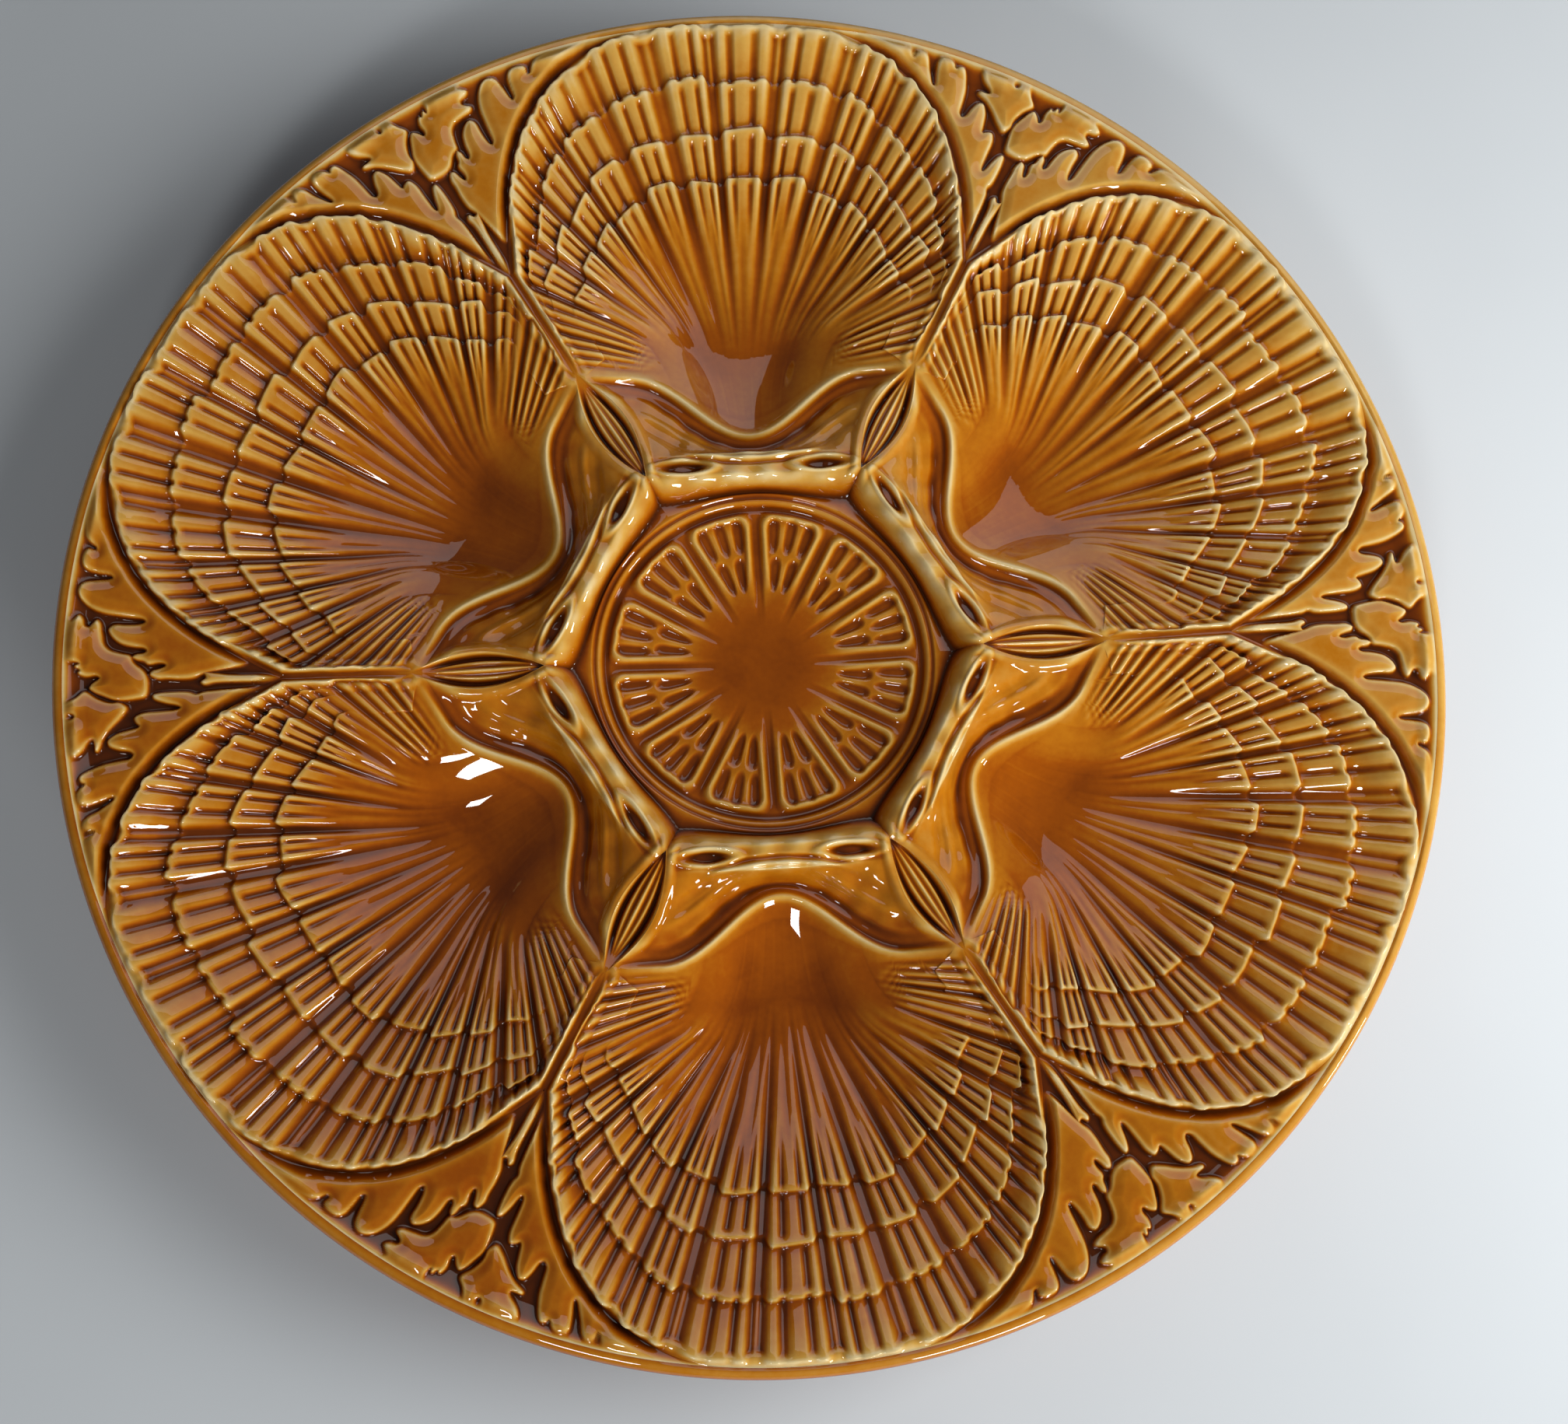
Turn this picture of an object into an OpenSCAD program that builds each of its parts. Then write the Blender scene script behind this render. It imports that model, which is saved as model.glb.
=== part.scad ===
// Oyster plate: one glazed earthenware casting with six scallop-shell wells round a lemon dish,
// seaweed between the shells, a plain band at the rim and a foot ring under the floor.
// The origin is on the table under the plate's centre, and the first shell points along +Y.

/* [Plate] */
// Overall diameter
plate_d = 245; // [230:1:265]
// Height of the rim above the table
rim_h = 27; // [25:0.5:31]
// Width of the plain band outside the shells
band_w = 2.2; // [1.6:0.1:3]
// Thickness of the lip at the rim
lip_t = 5; // [3.5:0.1:6.5]

/* [Shell wells] */
// Width of one shell across its ribs
shell_w = 85; // [78:0.5:90]
// Distance from the widest line of a shell to its outer tip
shell_tip = 40.4; // [37:0.2:44]
// Squareness of a shell's outline, 2 for an ellipse
shell_square = 2.5; // [2.1:0.1:3]
// Distance from the plate's centre to the hinge end of a shell
umbo_y = 42.8; // [41.6:0.1:45]
// How far the hinge end lies below the rim
umbo_drop = 10; // [8:0.1:11.5]
// Thickness of a shell's floor over the foot ring
floor_t = 5.5; // [4.5:0.1:7]
// Ribs across one shell
rib_count = 17; // [13:2:19]
// Height of a rib from its valley
rib_h = 1.2; // [0.6:0.1:1.8]
// Height of the three growth rings
ring_h = 0.7; // [0.3:0.1:1.2]
// Height of a shell's edge above the groove round it
edge_h = 1.4; // [0.6:0.1:2]

/* [Lemon dish and collar] */
// Diameter of the lemon dish
lemon_d = 62.4; // [58:0.2:64]
// How far the middle of the lemon lies below the rim
lemon_drop = 13; // [11:0.1:14]
// Thickness of the plate under the lemon
lemon_t = 5; // [4:0.1:6.5]
// Radius of the lemon's rind, a round bead
rind_r = 29.6; // [26.5:0.1:30]
// Radius of the outer ends of the lemon's segments
pulp_r = 27.6; // [24:0.1:28]
// How far the segments stand up
pulp_h = 0.7; // [0.3:0.1:1.2]
// Segments of the lemon
pulp_count = 12; // [8:1:14]
// Distance from the dish to the collar's crest
crest_gap = 2.6; // [1.6:0.1:3.5]
// Width of the collar outside its crest
collar_w = 3; // [2:0.1:3.6]
// How far the collar lies below the rim
collar_drop = 6; // [5:0.1:7.5]
// How far the dish's edge lies below the collar
dish_drop = 3.4; // [2.5:0.1:4.2]

/* [Buds and seaweed] */
// Length of a bud between two shells
bud_len = 24; // [20:0.5:28]
// Width of a bud
bud_w = 6.8; // [5:0.1:9.5]
// Height of a bud above the hollow beside it
bud_h = 2.8; // [1.5:0.1:3.5]
// Depth of the groove round shells and seaweed
groove_d = 0.8; // [0.4:0.1:1.2]
// How far the seaweed stands above its groove
weed_h = 1; // [0.4:0.1:1.6]

/* [Foot ring] */
// Diameter of the foot ring at the middle of its foot
foot_d = 120; // [112:1:126]
// Width of the foot where it stands
foot_w = 4; // [3:0.1:6]
// Height of the foot ring
foot_h = 4; // [3:0.1:5.5]

/* [Hidden] */
wells = 6;
sector = 360 / wells;
half = sector / 2;
near = 1e-6;

// Radii and heights worked out from the sizes above
band_r = plate_d / 2 - band_w;
lemon_r = lemon_d / 2;
crest_y = lemon_r + crest_gap;
collar_h = rim_h - collar_drop;
umbo_h = rim_h - umbo_drop;
lemon_h = rim_h - lemon_drop;
floor_h = foot_h + floor_t;
dish_edge_h = collar_h - dish_drop;
hollow_h = lemon_h - lemon_t;
bud_r0 = crest_y / cos(half);
bud_r1 = bud_r0 + bud_len;

// The foot's splayed sides, and the flat of the underside that it stands under
foot_splay = 1.2;
foot_out = foot_d / 2 + foot_w / 2 + foot_splay;
foot_in = foot_d / 2 - foot_w / 2 - foot_splay;
flat_margin = 6;
hollow_r = foot_in - flat_margin;
base_r = foot_out + flat_margin / 2;
flare = 1.3;

// A shell's outline: a squared ellipse whose tip the band cuts off, and whose lower half, if it were
// whole, would close a little way inside the hinge
tip_cut = 0.5;
heel = 12.9;
shell_c = band_r + tip_cut - shell_tip;
shell_heel = shell_c - (umbo_y - heel);

// The middle ribs run together here, the side ribs further out, and all of them lean a little to one side
fan_rise = 6.2;
fan_y = umbo_y + fan_rise;
fan_drift = 6;
drift_angle = 60;
rib_lean = 2.75;
lean_fade = 66;
lean_end = 84;

// The lines of a half shell, counted in ribs from its axis: a valley has one at its bottom and one at each side
valley_side = 0.15;
valleys = (rib_count - 1) / 2;
line_place = [
    0, for (m = [0:valleys - 1]) each [m + 0.5 - valley_side, m + 0.5, m + 0.5 + valley_side],
    valleys + 0.5 - valley_side, valleys + 0.5
];
end_line = len(line_place) - 1;
lines = [-end_line:end_line];

// The well's floor rises to its edges over these runs
umbo_run = 16;
well_run = 64;

// A rib's line bends into its place on the hinge over this share of its length
bow_share = 0.38;

// How closely the lines beside a bud keep their own course before they turn to meet it
bend = 8;

// Where the hinge line and the other lines of the collar meet a bud, as shares of its length
hinge_share = 0.92;
bud_v = [0, 0.15, 0.35, 0.55, 0.75, hinge_share, 1];
bud_cols = [-1, -0.5, 0, 0.5, 1];
bud_drop = 3;
weed_cols = [-1, -0.95, -0.8, -0.4, 0, 0.4, 0.8, 0.95, 1];

// Places of the three growth rings along the middle ribs, and how much further out they lie on the side ribs
ring_share = [0.613, 0.725, 0.855];
ring_gain = [0.09, 0.098, 0.045];
ring_least = [0.3, 0.5, 0.7];
ring_turn = 22;
ring_span = 38;
ring_widest = 72;
ring_fade = 58;
edge_w = 1.6;

// Rows of a shell: whole numbers are the hinge, the three rings, the rim and the edge, and each ring drops to
// the row after it; then how much of a valley's depth, a ring's height and the rim's height is there
shell_rows = [0, 0.16, 0.45, 0.75, 1, 1.1, 2, 2.1, 3, 3.1, 4, 5];
valley_part = [0, 0, 0, 0.6, 1, 1, 1, 1, 1, 1, 0.3, 0];
ring_part = [0, 0, 0, 0, 0.5, -0.5, 0.5, -0.5, 0.5, -0.5, 0.5, 0];
rim_part = [0, 0, 0, 0, 0, 0, 0, 0, 0, 0, 1, 0];
valley_ring = 0.35;
shell_under_rows = [0, 0.6, 1.5, 3.5, 5];

function mix(a, b, f) = a + (b - a) * f;
function polar(r, a) = [r * sin(a), r * cos(a)];
function ease(u) = let (c = min(1, max(0, u))) c * c * (3 - 2 * c);
function swell(u) = u <= 0 ? 0 : 0.5 * pow(sin(90 * u), 2) + 0.5 * pow(u, 1.5);

// Height of the land between the wells, from the collar up to the rim
function land(r) = collar_h + (rim_h - collar_h) * pow(max(0, r - bud_r0) / (band_r - bud_r0), 2);

// Height of the underside: hollow under the lemon, flat over the foot, then flaring to the rim
function under(r) =
    r < hollow_r ? foot_h + (hollow_h - foot_h) * (hollow_r - r) / (hollow_r - lemon_r)
    : r < base_r ? foot_h
    : foot_h + (rim_h - lip_t - foot_h) * pow(min(1, (r - base_r) / (band_r - base_r)), flare);
function below(p) = [p.x, p.y, under(norm([p.x, p.y]))];

// The side of a bud, seen from the shell on its left, and its height
function bud_half(v) = bud_w / 2 * sin(180 * v);
function bud_side(v) = polar(bud_r0 + v * bud_len, half) + bud_half(v) * [-cos(half), sin(half)];
function bud_side_z(v) = mix(collar_h, land(bud_r1) - groove_d, v) - bud_drop * sin(180 * v);

// The hinge line of a shell: low in the middle, with a wing at each side that ends on a bud
umbo_end = bud_side(hinge_share);
wing_share = 0.73;
crowd_share = 0.45;
function umbo(s) =
    let (x = umbo_end.x * mix(pow(s, 5), s, crowd_share))
    let (q = min(1, abs(x / umbo_end.x) / wing_share))
    [x, mix(umbo_y, umbo_end.y, (1 - cos(180 * q)) / 2)];
function umbo_z(s) = mix(umbo_h, bud_side_z(hinge_share), pow(abs(s), bend));

// Place of line j across a shell, from -1 to 1
function along(j) = sign(j) * line_place[abs(j)] / line_place[end_line];

// The outer edge of a shell, found along each line from the point on the axis where it starts
shell_end = polar(bud_r1, half);
fan_max = atan2(shell_end.x, shell_end.y - fan_y - fan_drift);
function hub(a) = [0, fan_y + fan_drift * pow(min(1, abs(a) / drift_angle), 1.5)];
function in_shell(p) =
    let (reach = p.y < shell_c ? shell_heel : shell_tip)
    let (round = pow(abs(p.x) / (shell_w / 2), shell_square))
    let (tall = pow(abs(p.y - shell_c) / reach, shell_square))
    round + tall <= 1 && norm(p) <= band_r && abs(p.x) <= p.y * tan(half);
halvings = 50;
function reach_out(a, lo, hi, k) =
    let (m = (lo + hi) / 2)
    k == 0 ? lo
    : in_shell(hub(a) + polar(m, a)) ? reach_out(a, m, hi, k - 1)
    : reach_out(a, lo, m, k - 1);
function edge_at(j) =
    let (a = fan_max * along(j))
    j == end_line ? shell_end : hub(a) + polar(reach_out(a, 0, plate_d, halvings), a);
edge_half = [for (j = [0:end_line]) edge_at(j)];
function edge(j) = j < 0 ? [-edge_half[-j].x, edge_half[-j].y] : edge_half[j];

// Angle and length of line j; the lines lean together, and less beside the buds
function fan(j) =
    let (a = fan_max * along(j))
    a + rib_lean * (1 - ease((abs(a) - lean_fade) / (lean_end - lean_fade)));
fan_length = [for (j = lines) reach_out(fan(j), 0, plate_d, halvings)];
function length_of(j) = fan_length[j + end_line];
function edge_z(p) = land(norm(p)) - groove_d;

// The last line that ends on the band, and the first that ends on the next shell
band_j = max([for (j = [0:end_line]) if (norm(edge_half[j]) > band_r - near) j]);
wedge_j = min([for (j = [0:end_line]) if (edge_half[j].x > edge_half[j].y * tan(half) - near) j]);

// Share of line j, from hinge to edge, at a row: rows between whole numbers lie evenly between them
function hinge_at(j) = (umbo(along(j)) - hub(fan(j))) * polar(1, fan(j));
function ring_at(j, k) =
    let (a = min(abs(fan(j)), ring_widest), out = pow(max(0, (a - ring_turn) / ring_span), 2))
    let (place = (ring_share[k] + ring_gain[k] * out) * length_of(j))
    max(ring_least[k], (place - hinge_at(j)) / run_of(j));
function run_of(j) = length_of(j) - hinge_at(j);
function mark(j, n) =
    n == 0 ? 0 : n == 5 ? 1 : n == 4 ? 1 - min(0.1, edge_w / run_of(j)) : ring_at(j, n - 1);
function share(j, row) =
    let (n = floor(row))
    abs(j) == end_line ? row / 5 : row >= 5 ? 1 : mix(mark(j, n), mark(j, n + 1), row - n);

// A point of a shell on line j; the end lines run straight along the buds
function shell_xy(j, row) =
    let (t = share(j, row), s = umbo(along(j)), a = fan(j), way = polar(1, a))
    let (bow = pow(max(0, 1 - t / bow_share), 2), aside = s - hub(a) - hinge_at(j) * way)
    row >= 5 ? edge(j)
    : abs(j) == end_line ? mix(s, edge(j), t)
    : hub(a) + (hinge_at(j) + t * run_of(j)) * way + bow * aside;
function shell_z(j, row) =
    let (s = along(j), t = share(j, row))
    let (run = abs(j) == end_line ? norm(edge(j) - umbo(s)) : run_of(j))
    let (inner = swell(1 - t * run / umbo_run), outer = swell(1 - (1 - t) * run / well_run))
    let (wi = inner * (1 - t), wo = outer * t)
    let (wall = (umbo_z(s) * wi + edge_z(edge(j)) * wo) / max(near, wi + wo))
    mix(floor_h, wall, 1 - (1 - inner) * (1 - outer));
function inland(j) = 1 - pow(abs(along(j)), bend);
function in_valley(j) = abs(j) % 3 == 2 && abs(j) < end_line;
function relief_z(j, i) =
    let (fade = 1 - ease((abs(fan(j)) - ring_fade) / (ring_widest - ring_fade)))
    let (ring = ring_h * ring_part[i] * fade * (in_valley(j) ? valley_ring : 1))
    inland(j) * (ring + edge_h * rim_part[i] - (in_valley(j) ? rib_h * valley_part[i] : 0));

// A point of the collar: row 0 is the dish's edge, row 1 the crest, and the last row the hinge line
function collar_xy(s, k) =
    let (v = bud_v[max(0, k - 1)], f = (k - 2) / 4, w = pow(abs(s), bend))
    let (out = bud_side(bud_v[1]), line = [s * out.x, mix(crest_y + collar_w, out.y, s * s)])
    let (gap = bud_side(v) - mix(out, umbo_end, f))
    k == 0 ? polar(lemon_r / cos(half * (1 - 2 * valley_side) / rib_count), s * half)
    : k == 1 ? [s * crest_y * tan(half), crest_y]
    : mix(line, umbo(s), f) + w * [sign(s) * gap.x, gap.y];
collar_fall = [0, 0.45, 0.8, 1];
collar_groove = 2;
crest_fall = 0.6;
function collar_z(s, k) =
    k == 0 ? dish_edge_h
    : k == 1 ? collar_h
    : k == 6 ? umbo_z(s)
    : let (slope = mix(collar_h - crest_fall, umbo_h - collar_groove, collar_fall[k - 2]))
      mix(slope, bud_side_z(bud_v[k - 1]), pow(abs(s), bend));

function start(rows, i) = i == 0 ? 0 : start(rows, i - 1) + len(rows[i - 1]);
function joined(rows) = [for (row = rows) for (p = row) p];

// Triangles between two rows of points that start at a and b, either of which may be one point; the right
// half mirrors the left
function strip(a, na, b, nb) =
    na == 1 ? [for (c = [0:nb - 2]) [a, b + c, b + c + 1]]
    : nb == 1 ? [for (c = [0:na - 2]) [a + c, b, a + c + 1]]
    : [for (c = [0:na - 2]) each 2 * c < na - 1
        ? [[a + c, b + c, b + c + 1], [a + c, b + c + 1, a + c + 1]]
        : [[a + c, b + c, a + c + 1], [a + c + 1, b + c, b + c + 1]]];
function sheet(rows, base) =
    [for (i = [0:len(rows) - 2])
        each strip(base + start(rows, i), len(rows[i]), base + start(rows, i + 1), len(rows[i + 1]))];
function turned(faces) = [for (f = faces) [for (i = [len(f) - 1:-1:0]) f[i]]];
function column(rows, base, last) =
    [for (i = [0:len(rows) - 1]) base + start(rows, i) + (last ? len(rows[i]) - 1 : 0)];
function wall(a, b, n) = n < 2 ? [] : [for (c = [0:n - 2]) [a + c, a + c + 1, b + c + 1, b + c]];
function side(top, bot) =
    len(top) == len(bot) ? [for (i = [0:len(top) - 2]) [top[i + 1], top[i], bot[i], bot[i + 1]]]
    : [concat([for (i = [len(top) - 1:-1:0]) top[i]], bot)];

// A closed solid between rows of points on top and rows underneath, with upright sides
module casting(top, bottom) {
    base = len(joined(top));
    n0 = len(top[0]);
    n1 = len(top[len(top) - 1]);
    last_top = start(top, len(top) - 1);
    last_bottom = base + start(bottom, len(bottom) - 1);
    polyhedron(
        points = concat(joined(top), joined(bottom)),
        faces = concat(
            sheet(top, 0),
            turned(sheet(bottom, base)),
            wall(0, base, n0),
            turned(wall(last_top, last_bottom, n1)),
            side(column(top, 0, false), column(bottom, base, false)),
            turned(side(column(top, 0, true), column(bottom, base, true)))
        )
    );
}

module glaze(tone) color(tone) children();
module at_well(i) rotate([0, 0, -sector * (i - 1)]) children();
module at_gap(i) rotate([0, 0, -sector * (i - 1) - half]) children();

module shell_well(i) {
    top = [for (k = [0:len(shell_rows) - 1]) [for (j = lines)
        let (row = shell_rows[k], p = shell_xy(j, row))
        [p.x, p.y, shell_z(j, row) + relief_z(j, k)]]];
    bottom = [for (row = shell_under_rows) [for (j = lines) below(shell_xy(j, row))]];
    glaze("darkgoldenrod") at_well(i) casting(top, bottom);
}

module collar(i) {
    cols = [for (j = lines) along(j)];
    top = [for (k = [0:6]) [for (s = cols) let (p = collar_xy(s, k)) [p.x, p.y, collar_z(s, k)]]];
    bottom = [for (row = top) [for (p = row) below(p)]];
    glaze("sienna") at_well(i) casting(top, bottom);
}

module bud(i) {
    last = len(bud_v) - 1;
    top = [for (k = [0:last]) [for (c = k == 0 || k == last ? [0] : bud_cols)
        let (v = bud_v[k], rise = bud_h * pow(sin(180 * v), 0.7) * sqrt(1 - c * c))
        [c * bud_half(v), bud_r0 + v * bud_len, bud_side_z(v) + rise]]];
    bottom = [for (row = top) [for (p = row) below(p)]];
    glaze("peru") at_gap(i) casting(top, bottom);
}

// The seaweed's rows run from one shell's edge to the next, and are spread more evenly along its middle
function weed_r(j, c) =
    let (even = mix(norm(edge(wedge_j)), band_r, (wedge_j - j) / (wedge_j - band_j)))
    mix(even, norm(edge(j)), (1 + c * c) / 2);
function weed_arc(j, c) = let (e = edge(j)) polar(weed_r(j, c), c * (half - atan2(e.x, e.y)));
module seaweed(i) {
    top = [for (j = [wedge_j:-1:band_j]) [for (c = j == wedge_j ? [0] : weed_cols)
        let (p = weed_arc(j, c), rise = abs(c) == 1 || j == wedge_j || j == band_j ? 0 : weed_h)
        [p.x, p.y, edge_z(p) + rise]]];
    bottom = [for (row = top) [for (p = row) below(p)]];
    glaze("goldenrod") at_gap(i) casting(top, bottom);
}

// The band's inner side has a flat face for each edge of the shells and seaweed that it meets
module rim_band() {
    margin = 1.5;
    flat = 0.4;
    mid = rim_h - lip_t / 2;
    arc = [for (a = [-90:15:90]) [band_r + flat + (band_w - flat) * cos(a), mid + lip_t / 2 * sin(a)]];
    back = [[band_r - margin, rim_h], [band_r - margin, rim_h - lip_t]];
    inner = [for (i = [0:wells - 1]) each concat(
        [for (j = [-band_j:band_j]) polar(band_r, sector * i + atan2(edge(j).x, edge(j).y))],
        [for (c = weed_cols) if (abs(c) < 1)
            let (p = weed_arc(band_j, c)) polar(band_r, sector * i + half + atan2(p.x, p.y))])];
    glaze("goldenrod") difference() {
        rotate_extrude($fn = 180) polygon(concat(arc, back));
        translate([0, 0, rim_h - lip_t - 1]) linear_extrude(lip_t + 2) polygon(inner);
    }
}

// The lemon: a shallow dish with a bead for its rind and raised segments
rind_groove = 0.9;
function dish_z(r) = mix(lemon_h, dish_edge_h - rind_groove, pow(r / lemon_r, 2));
module lemon_dish() {
    rind_w = 1;
    rind_h = 0.9;
    steps = 8;
    hub_r = 10;
    pulp_rise = 4;
    spoke_w = 2;
    sunk = 1;
    dish = [for (k = [0:steps]) let (r = (rind_r - rind_w) * k / steps) [r, dish_z(r)]];
    rind = [[rind_r, dish_z(rind_r) + rind_h], [rind_r + rind_w, dish_z(rind_r + rind_w)]];
    rim = [[lemon_r, dish_edge_h], [lemon_r, hollow_h], [0, hollow_h]];
    pulp = [for (k = [0:steps]) let (r = mix(hub_r, pulp_r, k / steps))
        [r, dish_z(r) + pulp_h * ease(pulp_rise * k / steps)]];
    pulp_under = [[pulp_r, dish_z(hub_r) - sunk], [hub_r, dish_z(hub_r) - sunk]];
    glaze("chocolate") union() {
        rotate_extrude($fn = 120) polygon(concat(dish, rind, rim));
        difference() {
            rotate_extrude($fn = 120) polygon(concat(pulp, pulp_under));
            for (k = [0:pulp_count - 1]) rotate([0, 0, 360 / pulp_count * k])
                translate([0, -spoke_w / 2, hollow_h]) cube([lemon_d, spoke_w, rim_h]);
        }
    }
}

module foot_ring() {
    glaze("tan") rotate_extrude($fn = 180) polygon([
        [foot_in, foot_h], [foot_d / 2 - foot_w / 2, 0], [foot_d / 2 + foot_w / 2, 0], [foot_out, foot_h]
    ]);
}

function named(word) = [for (i = [1:wells]) str(word, "_", i)];

foot_ring();
rim_band();
lemon_dish();
for (i = [1:wells]) {
    shell_well(i);
    collar(i);
    bud(i);
    seaweed(i);
}
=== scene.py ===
import bpy
import numpy as np
from mathutils import Matrix, Vector


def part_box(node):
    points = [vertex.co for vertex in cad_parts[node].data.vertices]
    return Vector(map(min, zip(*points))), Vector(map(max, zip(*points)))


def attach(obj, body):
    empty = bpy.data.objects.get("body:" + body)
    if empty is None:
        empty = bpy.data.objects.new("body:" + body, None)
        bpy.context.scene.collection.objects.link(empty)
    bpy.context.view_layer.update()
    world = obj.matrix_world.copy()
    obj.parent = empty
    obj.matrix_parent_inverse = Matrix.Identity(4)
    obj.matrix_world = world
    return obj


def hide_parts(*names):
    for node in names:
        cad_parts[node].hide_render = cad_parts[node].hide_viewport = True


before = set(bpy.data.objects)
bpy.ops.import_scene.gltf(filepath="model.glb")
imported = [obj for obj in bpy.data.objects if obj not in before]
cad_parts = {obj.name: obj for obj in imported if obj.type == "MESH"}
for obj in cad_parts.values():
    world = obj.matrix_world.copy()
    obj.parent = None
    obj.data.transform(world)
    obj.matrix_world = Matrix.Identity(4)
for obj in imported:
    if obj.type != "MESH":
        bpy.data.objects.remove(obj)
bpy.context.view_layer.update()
scene = bpy.context.scene

# All relief is worked out in millimetres, with one shell pointing along +Y
mm = 0.001
wells = 6
sector = 360 / wells
half = sector / 2
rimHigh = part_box("rim_band")[1]
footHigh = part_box("foot_ring")[1]

plate = {
    "radius": rimHigh.y / mm,
    "rimHeight": rimHigh.z / mm,
    "bandWidth": 2.2,
    "lip": 5,  # thickness at the rim
    "collarDrop": 6,  # how far the collar lies below the rim
    "groove": 1.2,  # depth of the groove round shells and seaweed
    "grooveEnd": 0.3,  # and where a shell's outer end meets the rim
    "grooveTurn": (9, 17),  # degrees from a shell's axis over which it deepens
    "hollowHeight": 9,  # underside below the lemon
    "hollowR": 50.8,
    "baseR": 66.2,
    "flare": 1.3,
}
bandR = plate["radius"] - plate["bandWidth"]
collarHeight = plate["rimHeight"] - plate["collarDrop"]
footHeight = footHigh.z / mm
far = 99.0  # a distance past all that is measured


def mix(a, b, f):
    return a + (b - a) * f


def ease(lo, hi, x):
    u = np.clip((x - lo) / (hi - lo), 0, 1)
    return u * u * (3 - 2 * u)


def fade(lo, hi, x):
    return 1 - ease(lo, hi, x)


def ridge(x, centre, reach):
    u = np.clip(np.abs(x - centre) / reach, 0, 1)
    return (1 - u * u) ** 2


def ridges(x, centres, reach):
    return sum(ridge(x, centre, reach) for centre in centres)


def swell(u):
    u = np.clip(u, 0, 1)
    return 0.5 * np.sin(np.pi / 2 * u) ** 2 + 0.5 * u ** 1.5


def polar(r, degrees):
    a = np.radians(degrees)
    return np.stack([r * np.sin(a), r * np.cos(a)], axis=-1)


def spun(r, degrees, z):
    spots = polar(r, degrees)
    return np.stack([spots[..., 0], spots[..., 1], z + 0 * degrees], axis=-1)


def fromMiddle(points):
    return np.hypot(points[..., 0], points[..., 1])


def overLine(x, y, line, measure):
    # measures each point's squared distances to the points of a line, a few thousand at a time
    flat = np.stack([x.ravel(), y.ravel()], axis=-1)
    out = np.empty(len(flat))
    step = 4000
    for start in range(0, len(flat), step):
        part = flat[start:start + step, None, :] - line[None, :, :]
        out[start:start + step] = measure((part ** 2).sum(-1))
    return out.reshape(x.shape)


def gapTo(x, y, line):
    # shortest distance from each point to the points of a line
    return overLine(x, y, line, lambda squared: np.sqrt(squared.min(-1)))


def softGapTo(x, y, line):
    # the same distance without a crease midway between two stretches of the line
    steps = np.gradient(line, axis=0)
    length = np.hypot(steps[:, 0], steps[:, 1])

    def measure(squared):
        return ((length / (squared + 0.01) ** 2).sum(-1) * 2 / np.pi) ** (-1 / 3)

    return overLine(x, y, line, measure)


def spread(*bands):
    # one rising list of places from bands of (start, end, count)
    return np.unique(np.concatenate([np.linspace(a, b, n) for a, b, n in bands]).round(6))


def land(r):
    u = np.maximum(0, r - bud["rootR"]) / (bandR - bud["rootR"])
    return collarHeight + plate["collarDrop"] * u ** 2


def grooveAt(off):
    # off: degrees from the nearest shell's axis
    return mix(plate["grooveEnd"], plate["groove"], ease(*plate["grooveTurn"], np.abs(off)))


def under(r):
    # height of the underside: a hollow below the lemon, a flat floor and a flare up to the rim
    inward = (r - lemon["radius"]) / (plate["hollowR"] - lemon["radius"])
    hollow = mix(plate["hollowHeight"], footHeight, inward)
    u = np.clip((r - plate["baseR"]) / (bandR - plate["baseR"]), 0, 1)
    lift = plate["rimHeight"] - plate["lip"] - footHeight
    flare = footHeight + lift * u ** plate["flare"]
    return np.where(r < plate["hollowR"], np.minimum(hollow, plate["hollowHeight"]), flare)


# Bud: a short spindle of three strands in the hollow between the hinge ends of two shells
bud = {
    "rootR": 39.03,
    "length": 24,
    "width": 6.8,
    "drop": 0.9,  # how far the ridges beside the hollow sag
    "hollow": 1.9,
    "hollowSide": (1, 0.6),  # it deepens over these shares of the half width
    "hollowEnd": (0.7, 1),  # and runs out over these of the length
    "spindle": 0.9,  # share of the length that the spindle takes
    "spindleHalf": 2.2,  # half its width
    "spindleRoot": (0.01, 0.12),
    "spindleTip": (0.72, 0.9),
    "rise": 1.7,
    "strands": 3,
    "strandHeight": 0.38,
    "strandFade": (0.75, 1),
    "middle": (0, 51),  # where its underside is closed
    "rows": 97,
    "columns": 61,
}
bud["tipR"] = bud["rootR"] + bud["length"]


def budHalf(v):
    return bud["width"] / 2 * np.sin(np.pi * v)


def budSide(v):
    v = np.asarray(v, float)
    out = np.array([-np.cos(np.radians(half)), np.sin(np.radians(half))])
    return polar(bud["rootR"] + v * bud["length"], half) + budHalf(v)[..., None] * out


def budSideZ(v):
    return mix(collarHeight, land(bud["tipR"]) - plate["groove"], v) - bud["drop"] * np.sin(np.pi * v)


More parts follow.
